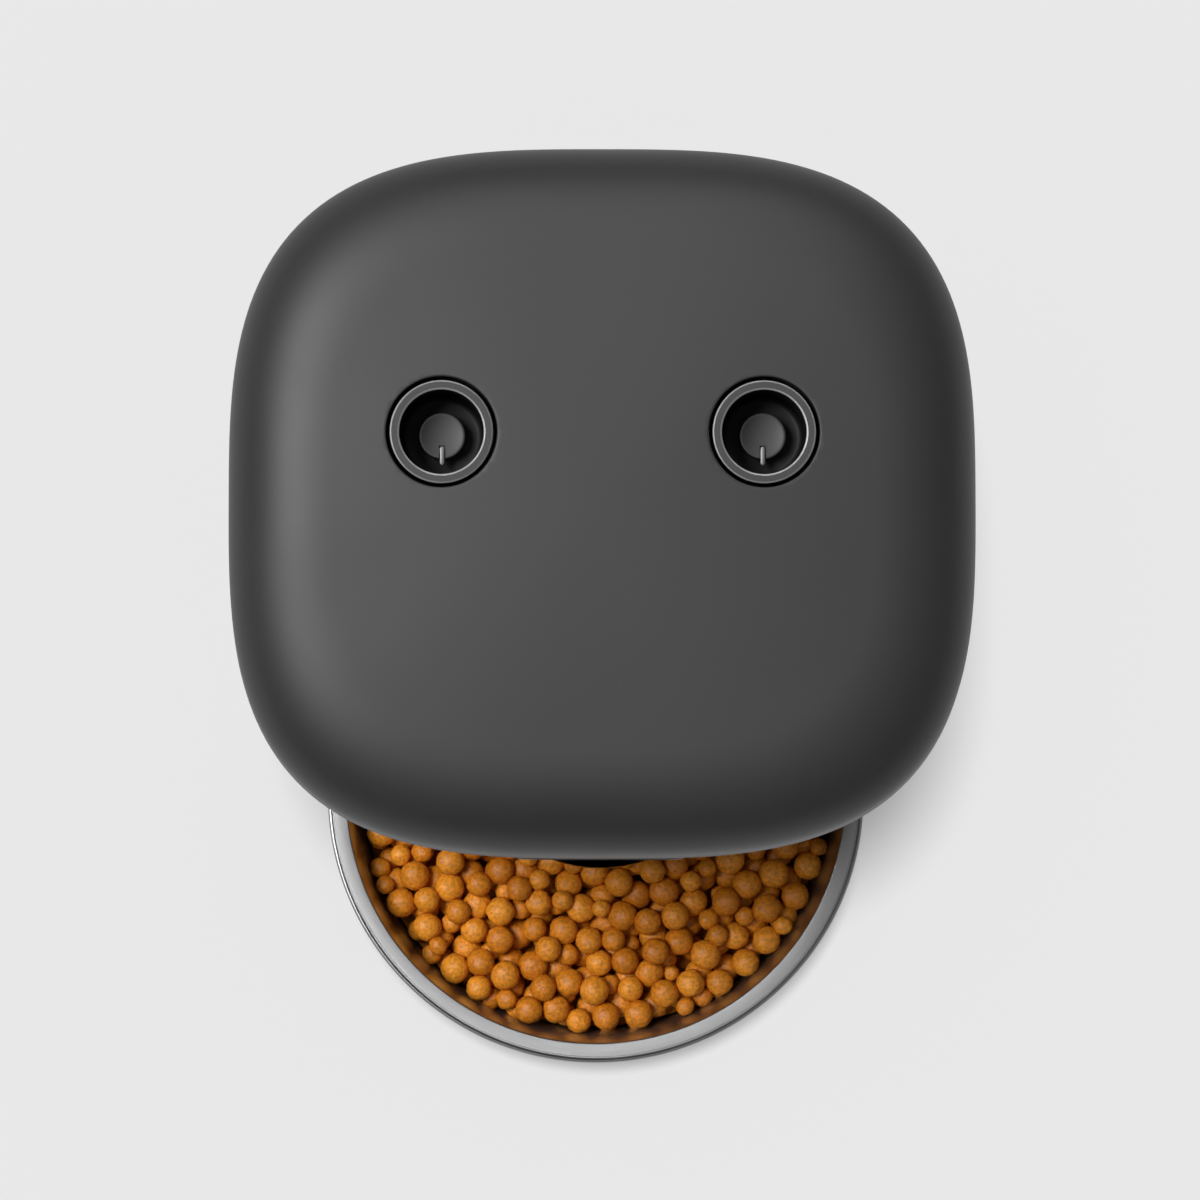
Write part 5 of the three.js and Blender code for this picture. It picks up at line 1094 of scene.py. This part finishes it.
column = make_piece("column_wall", skin([
    stand_outline(column_bottom, column_foot_round),
    stand_outline(column_bottom + 0.3 * column_foot_round, 0.3 * column_foot_round),
    stand_outline(column_bottom + column_foot_round),
    stand_outline((column_bottom + column_top) / 2),
    stand_outline(column_top),
]), graphite)
column_hollow = [stand_outline(column_bottom - mm, shell_wall), stand_outline(column_top + mm, shell_wall)]
shaped_by(column, skin(column_hollow), "DIFFERENCE")
shaped_by(column, bowl_drum(alcove_radius + shell_wall + insert_gap, 0, head_bottom + mm), "DIFFERENCE")
shaped_by(column, cover_slab(cover_gap), "DIFFERENCE")
inlet_at = (0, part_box("power_socket")[1].y, inlet_height)
shaped_by(column, into_wall(rod(inlet_hole_radius, 6 * mm), inlet_at), "DIFFERENCE")
seated(column, "stand", "graphite_plastic", "column_housing")

# Alcove: a smooth black liner bent round the bowl, between the two arms. It is cut to the
# column's outline, so that its ends stay inside the noses.
alcove_drum = bowl_drum(alcove_radius + alcove_wall, column_bottom, column_top)
alcove = make_piece("alcove_wall", alcove_drum, plain_black)
shaped_by(alcove, bowl_drum(alcove_radius, 0, head_bottom + mm), "DIFFERENCE")
shaped_by(alcove, skin([stand_outline(column_bottom - mm), stand_outline(column_top + mm)]), "INTERSECT")
seated(alcove, "stand", "black_plastic", "alcove_liner")

# Battery cover: a panel of the same wall with a finger scoop, and three D cells in the box
# behind it, each in a plain sleeve with a bare metal top.
scoop_half_width = 11 * mm
scoop_radius = 14 * mm
scoop_depth = 1.4 * mm
cell_edge = 0.8 * mm
cell_tip_radius = 4 * mm
cell_tip_height = 1.4 * mm
cell_sleeve_inset = 2.2 * mm

cover_levels = [body_level(column_inset(height) + inset, height)
                for height, inset in ((cover_low.z - mm, 0), (cover_high.z + mm, 0),
                                      (cover_high.z + mm, shell_wall), (cover_low.z - mm, shell_wall))]
cover = make_piece("rear_panel", outline_skin(cover_levels, closed=False), graphite)
shaped_by(cover, cover_slab(0), "INTERSECT")
scoop = turned(rod(scoop_radius, scoop_half_width), 96)
scoop_back_y = body_centre_y + body_half_depth - column_inset(cover_high.z)
scoop_at = Matrix.Translation((0, scoop_back_y + scoop_radius - scoop_depth, cover_high.z - scoop_half_width))
bmesh.ops.transform(scoop, verts=scoop.verts, matrix=scoop_at @ Matrix.Rotation(math.pi / 2, 4, "Y"))
shaped_by(cover, scoop, "DIFFERENCE")
seated(cover, "rear_cover", "graphite_plastic", "battery_cover")

cell_sleeve = moulded_plastic("cell_sleeve", (0.05, 0.09, 0.13), 0.3)
shaft_steel = satin_metal("shaft_steel", (0.5, 0.5, 0.51), 0.28)
for cell_name in ("battery_cell_left", "battery_cell_middle", "battery_cell_right"):
    cell_low, cell_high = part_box(cell_name)
    cell_radius = (cell_high.x - cell_low.x) / 2
    cell_top = cell_high.z - cell_tip_height
    cell_profile = [
        (0, cell_low.z),
        *arc(cell_radius - cell_edge, cell_low.z + cell_edge, cell_edge, -90, 0, 4),
        *arc(cell_radius - cell_edge, cell_top - cell_edge, cell_edge, 0, 90, 4),
        (cell_radius - cell_sleeve_inset, cell_top),
        (cell_tip_radius, cell_top),
        (cell_tip_radius, cell_high.z - 0.3 * cell_edge),
        (cell_tip_radius - 0.3 * cell_edge, cell_high.z),
        (0, cell_high.z),
    ]
    cell_bm = turned(cell_profile, 64, box_axis(cell_low, cell_high))
    cell = make_piece(cell_name + "_can", cell_bm, cell_sleeve)
    cell.data.materials.append(shaft_steel)
    for face in cell.data.polygons:
        face.material_index = int(face.center.z > cell_top - 0.01 * mm)
    seated(cell, "stand", "cell_sleeve", cell_name)

# Power inlet: a block on the main board whose round barrel shows in the rear wall. Its bore has
# a chamfered mouth and a centre pin.
socket_low, socket_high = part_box("power_socket")
barrel_radius = 4.5 * mm
barrel_bore = 3.3 * mm
barrel_pin = 1 * mm
barrel_depth = 9 * mm
barrel_length = 4 * mm
barrel_edge = 0.3 * mm
block_back = socket_high.y - 3.1 * mm

socket_size = (socket_high.x - socket_low.x, block_back - socket_low.y, socket_high.z - socket_low.z)
socket_bm = block(socket_size, (0, (block_back + socket_low.y) / 2, inlet_height))
socket = make_piece("inlet_block", socket_bm, plain_black)
socket_at = (0, socket_high.y, inlet_height)
barrel_outside = [(0, -barrel_length), (barrel_radius, -barrel_length),
                  *arc(barrel_radius - barrel_edge, -barrel_edge, barrel_edge, 0, 90, 3), (0, 0)]
barrel_inside = [(barrel_pin, -barrel_depth), (barrel_bore, -barrel_depth), (barrel_bore, -barrel_edge),
                 (barrel_bore + barrel_edge, 0.2 * mm), (0, 0.2 * mm), (0, -1.2 * mm),
                 (0.6 * barrel_pin, -1.1 * mm), (barrel_pin, -1.6 * mm)]
shaped_by(socket, into_wall(barrel_outside, socket_at), "UNION")
shaped_by(socket, into_wall(barrel_inside, socket_at), "DIFFERENCE")
seated(socket, "stand", "black_plastic", "power_socket")

# Base: a flat plate with a tongue under the bowl's tray, on five soft rubber feet. The stem of
# each foot fills a hole in the plate, and its pad is slightly hollow below.
base_low, base_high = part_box("base_plate")
base_inset = 1.5 * mm
base_edge = 0.5 * mm
tongue_half_width = 32 * mm
tongue_back = 55 * mm
foot_stem_hole = 3.3 * mm
foot_edge = 0.8 * mm
foot_names = ("foot_rear_left", "foot_rear_right", "foot_side_left", "foot_side_right", "foot_front")
rubber_black = moulded_plastic("rubber_black", (0.018, 0.018, 0.018), 0.8, 0.8 * mm, 0.03 * mm)

base = make_piece("base_board", skin([
    stand_outline(base_low.z, base_inset + base_edge),
    stand_outline(base_low.z + base_edge, base_inset),
    stand_outline(base_high.z - base_edge, base_inset),
    stand_outline(base_high.z, base_inset + base_edge),
]), plain_black)
tongue_bm = block((2 * tongue_half_width, tongue_back - base_low.y, base_high.z - base_low.z),
                  (0, (tongue_back + base_low.y) / 2, (base_low.z + base_high.z) / 2))
shaped_by(base, tongue_bm, "UNION")
for foot_name in foot_names:
    foot_low, foot_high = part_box(foot_name)
    foot_at = box_axis(foot_low, foot_high)
    foot_radius = (foot_high.x - foot_low.x) / 2
    pad_high = base_low.z - insert_gap
    foot_profile = [
        (0, 0.3 * mm),
        (foot_radius - 2.5 * mm, 0.3 * mm),
        (foot_radius - 2.2 * mm, 0),
        *arc(foot_radius - foot_edge, foot_edge, foot_edge, -90, 0, 5),
        (foot_radius, pad_high),
        (foot_stem_hole - insert_gap, pad_high),
        (foot_stem_hole - insert_gap, foot_high.z),
        (0, foot_high.z),
    ]
    foot = make_piece(foot_name + "_pad", turned(foot_profile, 64, foot_at), rubber_black)
    seated(foot, "stand", "rubber", foot_name)
    shaped_by(base, turned(cylinder(foot_stem_hole, 0, 12 * mm), 48, foot_at), "DIFFERENCE")
seated(base, "stand", "black_plastic", "base_plate")

# Tray: a moulded dish that holds the steel bowl and slides off the tongue on two rails. Its
# skirt is open at the rear, where the tongue comes in.
tray_points = ((8.3 * mm, 70.2 * mm), (32 * mm, 78.2 * mm), (58.6 * mm, 82 * mm))
tray_low, tray_foot_radius = tray_points[0]
tray_top = tray_points[2][0]
tray_edge = 0.4 * mm
tray_wall = 2.3 * mm
tray_floor_high = 10.5 * mm
skirt_radius = 69 * mm
skirt_inner = 66.8 * mm
skirt_low = 2.5 * mm
rail_near = 32.3 * mm
rail_far = 34.3 * mm
rail_heights = (5 * mm, 9.4 * mm)
gate_half_depth = 35 * mm
gate_shift = 68 * mm


def tray_radius(height):
    """A smooth curve through the three points of the tray's outer face."""
    total = 0
    for number, (level, radius) in enumerate(tray_points):
        share = 1
        for other, (other_level, _) in enumerate(tray_points):
            if other != number:
                share *= (height - other_level) / (level - other_level)
        total += share * radius
    return total


def tray_box(x_low, x_high, y_half, z_low, z_high):
    return block((x_high - x_low, 2 * y_half, z_high - z_low),
                 ((x_low + x_high) / 2, bowl_centre.y, (z_low + z_high) / 2))


lip_round = tray_wall / 2
heights = [tray_low + (tray_top - lip_round - tray_low) * step / 16 for step in range(17)]
tray_profile = [
    (0, tray_low),
    (skirt_inner, tray_low),
    (skirt_inner, skirt_low + tray_edge),
    (skirt_inner + tray_edge, skirt_low),
    (skirt_radius - tray_edge, skirt_low),
    (skirt_radius, skirt_low + tray_edge),
    (skirt_radius, tray_low - 0.6 * mm),
    (skirt_radius + 0.5 * mm, tray_low - 0.1 * mm),
    *[(tray_radius(height), height) for height in heights],
    *arc(tray_radius(heights[-1]) - lip_round, tray_top - lip_round, lip_round, 20, 160, 6),
    *[(tray_radius(height) - tray_wall, height) for height in reversed(heights)
      if height > tray_floor_high + mm],
    (tray_foot_radius - tray_wall - 1.5 * mm, tray_floor_high),
    (0, tray_floor_high),
]
tray = make_piece("tray_dish", turned(tray_profile, 192, (0, bowl_centre.y, 0)), graphite)
rear_gate = tray_box(-rail_near, rail_near, gate_half_depth, 0, tray_low)
bmesh.ops.translate(rear_gate, verts=rear_gate.verts, vec=(0, gate_shift, 0))
shaped_by(tray, rear_gate, "DIFFERENCE")
rail_half = math.sqrt(skirt_inner ** 2 - rail_far ** 2)
for x_low, x_high in ((-rail_far, -rail_near), (rail_near, rail_far)):
    shaped_by(tray, tray_box(x_low, x_high, rail_half, *rail_heights), "UNION")
seated(tray, "tray", "graphite_plastic", "bowl_tray")

# Hopper: one smoky moulding, from the squarish mouth with its flange down to the round neck.
# The flange follows the inside of the head's wall.
hopper_low, hopper_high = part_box("hopper")
pot_low, pot_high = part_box("metering_pot")
rotor_y = (pot_low.y + pot_high.y) / 2
hopper_wall = 2.2 * mm
neck_radius = 50 * mm
neck_top = 206 * mm
funnel_top = 242.57 * mm
mouth_half_width = 88 * mm
mouth_front_y = -39.9 * mm
mouth_back_y = 111.6 * mm
flange_low = hopper_high.z - 2.5 * mm
flange_inset = shell_wall + insert_gap
mouth_edge = 0.6 * mm


def hopper_ring(height, grow, neck_share, steps=192):
    """A level of the hopper between its squarish mouth and, at a share of 1, its round neck."""
    points = []
    for step in range(steps):
        turn = math.tau * step / steps
        mouth = corner_point(turn, mouth_half_width + grow, (mouth_back_y - mouth_front_y) / 2 + grow,
                             (mouth_front_y + mouth_back_y) / 2, height)
        neck = Vector(((neck_radius + grow) * math.cos(turn), rotor_y + (neck_radius + grow) * math.sin(turn),
                       height))
        points.append(mouth.lerp(neck, neck_share))
    return points


def flange_ring(height, inset, steps=192):
    half_width, half_depth = (size - head_inset(height) - flange_inset - inset
                              for size in (body_half_width, body_half_depth))
    return [corner_point(math.tau * step / steps, half_width, half_depth, body_centre_y, height)
            for step in range(steps)]


hopper_smoke = moulded_plastic("hopper_smoke", (0.2, 0.21, 0.22), 0.22, 2 * mm, 0.004 * mm, 0.03)
hopper = make_piece("smoky_hopper", skin([
    hopper_ring(hopper_low.z, hopper_wall, 1),
    hopper_ring(neck_top, hopper_wall, 1),
    hopper_ring(funnel_top, hopper_wall, 0),
    hopper_ring(flange_low, hopper_wall, 0),
    flange_ring(flange_low, mouth_edge / 2),
    flange_ring(flange_low + mouth_edge / 2, 0),
    flange_ring(hopper_high.z - mouth_edge / 2, 0),
    flange_ring(hopper_high.z, mouth_edge / 2),
    hopper_ring(hopper_high.z, mouth_edge, 0),
    hopper_ring(hopper_high.z - 0.3 * mouth_edge, 0.3 * mouth_edge, 0),
    hopper_ring(hopper_high.z - mouth_edge, 0, 0),
    hopper_ring(funnel_top, 0, 0),
    hopper_ring(neck_top, 0, 1),
    hopper_ring(hopper_low.z, 0, 1),
], closed=False), hopper_smoke)
seated(hopper, "stand", "hopper_plastic", "hopper")

# Desiccant canister under the lid, and its turning cap with a grip bar and breathing holes. Both
# share one upright axis through the middle of the lid.
canister_low, canister_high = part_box("desiccant_box")
canister_cap_low, canister_cap_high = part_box("desiccant_cap")
canister_flange_radius = 30 * mm
canister_radius = 27 * mm
canister_wall = 2 * mm
canister_flange_low = canister_high.z - 1.8 * mm
canister_cap_thickness = 3 * mm
canister_edge = 0.5 * mm
grip_half = (20 * mm, 2.4 * mm)
breather_radius = 2.2 * mm
breather_reach = 17 * mm
breather_count = 6
canister_at = (0, body_centre_y, 0)

canister_profile = [
    (0, canister_flange_low),
    (canister_radius - canister_wall, canister_flange_low),
    (canister_radius - canister_wall, canister_low.z),
    (canister_radius, canister_low.z),
    (canister_radius, canister_flange_low),
    (canister_flange_radius, canister_flange_low),
    (canister_flange_radius, canister_high.z),
    (0, canister_high.z),
]
canister = make_piece("canister", turned(canister_profile, 96, canister_at), plain_black)
seated(canister, "lid", "black_plastic", "desiccant_box")
disc_low = canister_cap_high.z - canister_cap_thickness
disc_profile = [
    (0, disc_low),
    *arc(canister_radius - canister_edge, disc_low + canister_edge, canister_edge, -90, 0, 4),
    (canister_radius, canister_cap_high.z),
    (0, canister_cap_high.z),
]
canister_cap = make_piece("canister_lid", turned(disc_profile, 96, canister_at), graphite)
grip_high = disc_low + 1.5 * mm
grip = block((2 * grip_half[0], 2 * grip_half[1], grip_high - canister_cap_low.z), (0, 0, 0))
bmesh.ops.bevel(grip, geom=grip.edges, offset=canister_edge, segments=3, profile=0.5, material=-1,
                affect="EDGES")
bmesh.ops.translate(grip, verts=grip.verts, vec=(0, body_centre_y, (grip_high + canister_cap_low.z) / 2))
shaped_by(canister_cap, grip, "UNION")
for number in range(breather_count):
    turn = math.tau * (number + 0.5) / breather_count
    hole_at = (breather_reach * math.cos(turn), body_centre_y + breather_reach * math.sin(turn),
               canister_cap_high.z)
    shaped_by(canister_cap, turned(rod(breather_radius, 6 * mm), 32, hole_at), "DIFFERENCE")
seated(canister_cap, "canister_cap", "graphite_plastic", "desiccant_cap")

# Every other piece keeps its CAD form. A merged copy with softened edges takes its place, in the
# finish of its material.
gear_nylon = moulded_plastic("gear_nylon", (0.68, 0.66, 0.58), 0.45)
board_green = moulded_plastic("board_green", (0.012, 0.07, 0.035), 0.35)
slot_finishes = {
    "graphite_plastic": graphite,
    "black_plastic": plain_black,
    "hopper_plastic": hopper_smoke,
    "window_plastic": dark_gloss,
    "lens": lens_coat,
    "gear_nylon": gear_nylon,
    "light_guide": light_milky,
    "rubber": rubber_black,
    "bowl_steel": bowl_steel,
    "shaft_steel": shaft_steel,
    "pointer_metal": pointer_metal,
    "bolt_metal": satin_metal("bolt_metal", (0.42, 0.42, 0.43), 0.45, 0.4 * mm, 0.01 * mm),
    "motor_can": satin_metal("motor_can", (0.4, 0.4, 0.41), 0.35),
    "circuit_board": board_green,
    "cell_sleeve": cell_sleeve,
    "dry_food": baked_crumb,
}
edge_rounds = {
    0.1 * mm: ("left_lock_shaft", "right_lock_shaft"),
    0.12 * mm: ("motor_pinion", "idler_gear", "drive_gear"),
    0.15 * mm: ("main_board", "camera_board", "flap_pin", "left_lock_bolt", "right_lock_bolt"),
    0.2 * mm: ("motor", "idler_axle"),
    0.25 * mm: ("left_keeper", "right_keeper"),
    0.3 * mm: ("battery_box", "speaker", "drive_shaft", "metering_pot"),
    0.35 * mm: ("gear_plate", "chute", "chute_flap", "lid_pan"),
    0.4 * mm: ("head_floor", "impeller"),
    0.5 * mm: ("metering_hood", "stirrer"),
}
soft_edges = {node: width for width, names in edge_rounds.items() for node in names}
soft_angle = 32
body_of = {node: body for body, names in frame["record"]["behaviour"]["bodies"].items() for node in names}
for part in frame["record"]["subparts"]:
    node_name, slot_name = part["node"], part["material_slot"]
    shape = nodes[node_name].data
    shape.materials.clear()
    shape.materials.append(slot_finishes[slot_name])
    if node_name in soft_edges:
        soft_bm = bmesh.new()
        soft_bm.from_mesh(shape)
        bmesh.ops.transform(soft_bm, verts=soft_bm.verts, matrix=nodes[node_name].matrix_world)
        bmesh.ops.remove_doubles(soft_bm, verts=soft_bm.verts, dist=0.01 * mm)
        bmesh.ops.dissolve_limit(soft_bm, angle_limit=math.radians(1), verts=soft_bm.verts,
                                 edges=soft_bm.edges)
        soft = make_piece(node_name + "_soft", soft_bm, slot_finishes[slot_name], soft_angle)
        edge_round = soft.modifiers.new("edge_round", "BEVEL")
        edge_round.width = soft_edges[node_name]
        edge_round.segments = 2
        edge_round.limit_method = "ANGLE"
        edge_round.angle_limit = math.radians(soft_angle)
        edge_round.use_clamp_overlap = True
        made_fast(soft, soft_angle)
        seated(soft, body_of[node_name], slot_name, node_name)
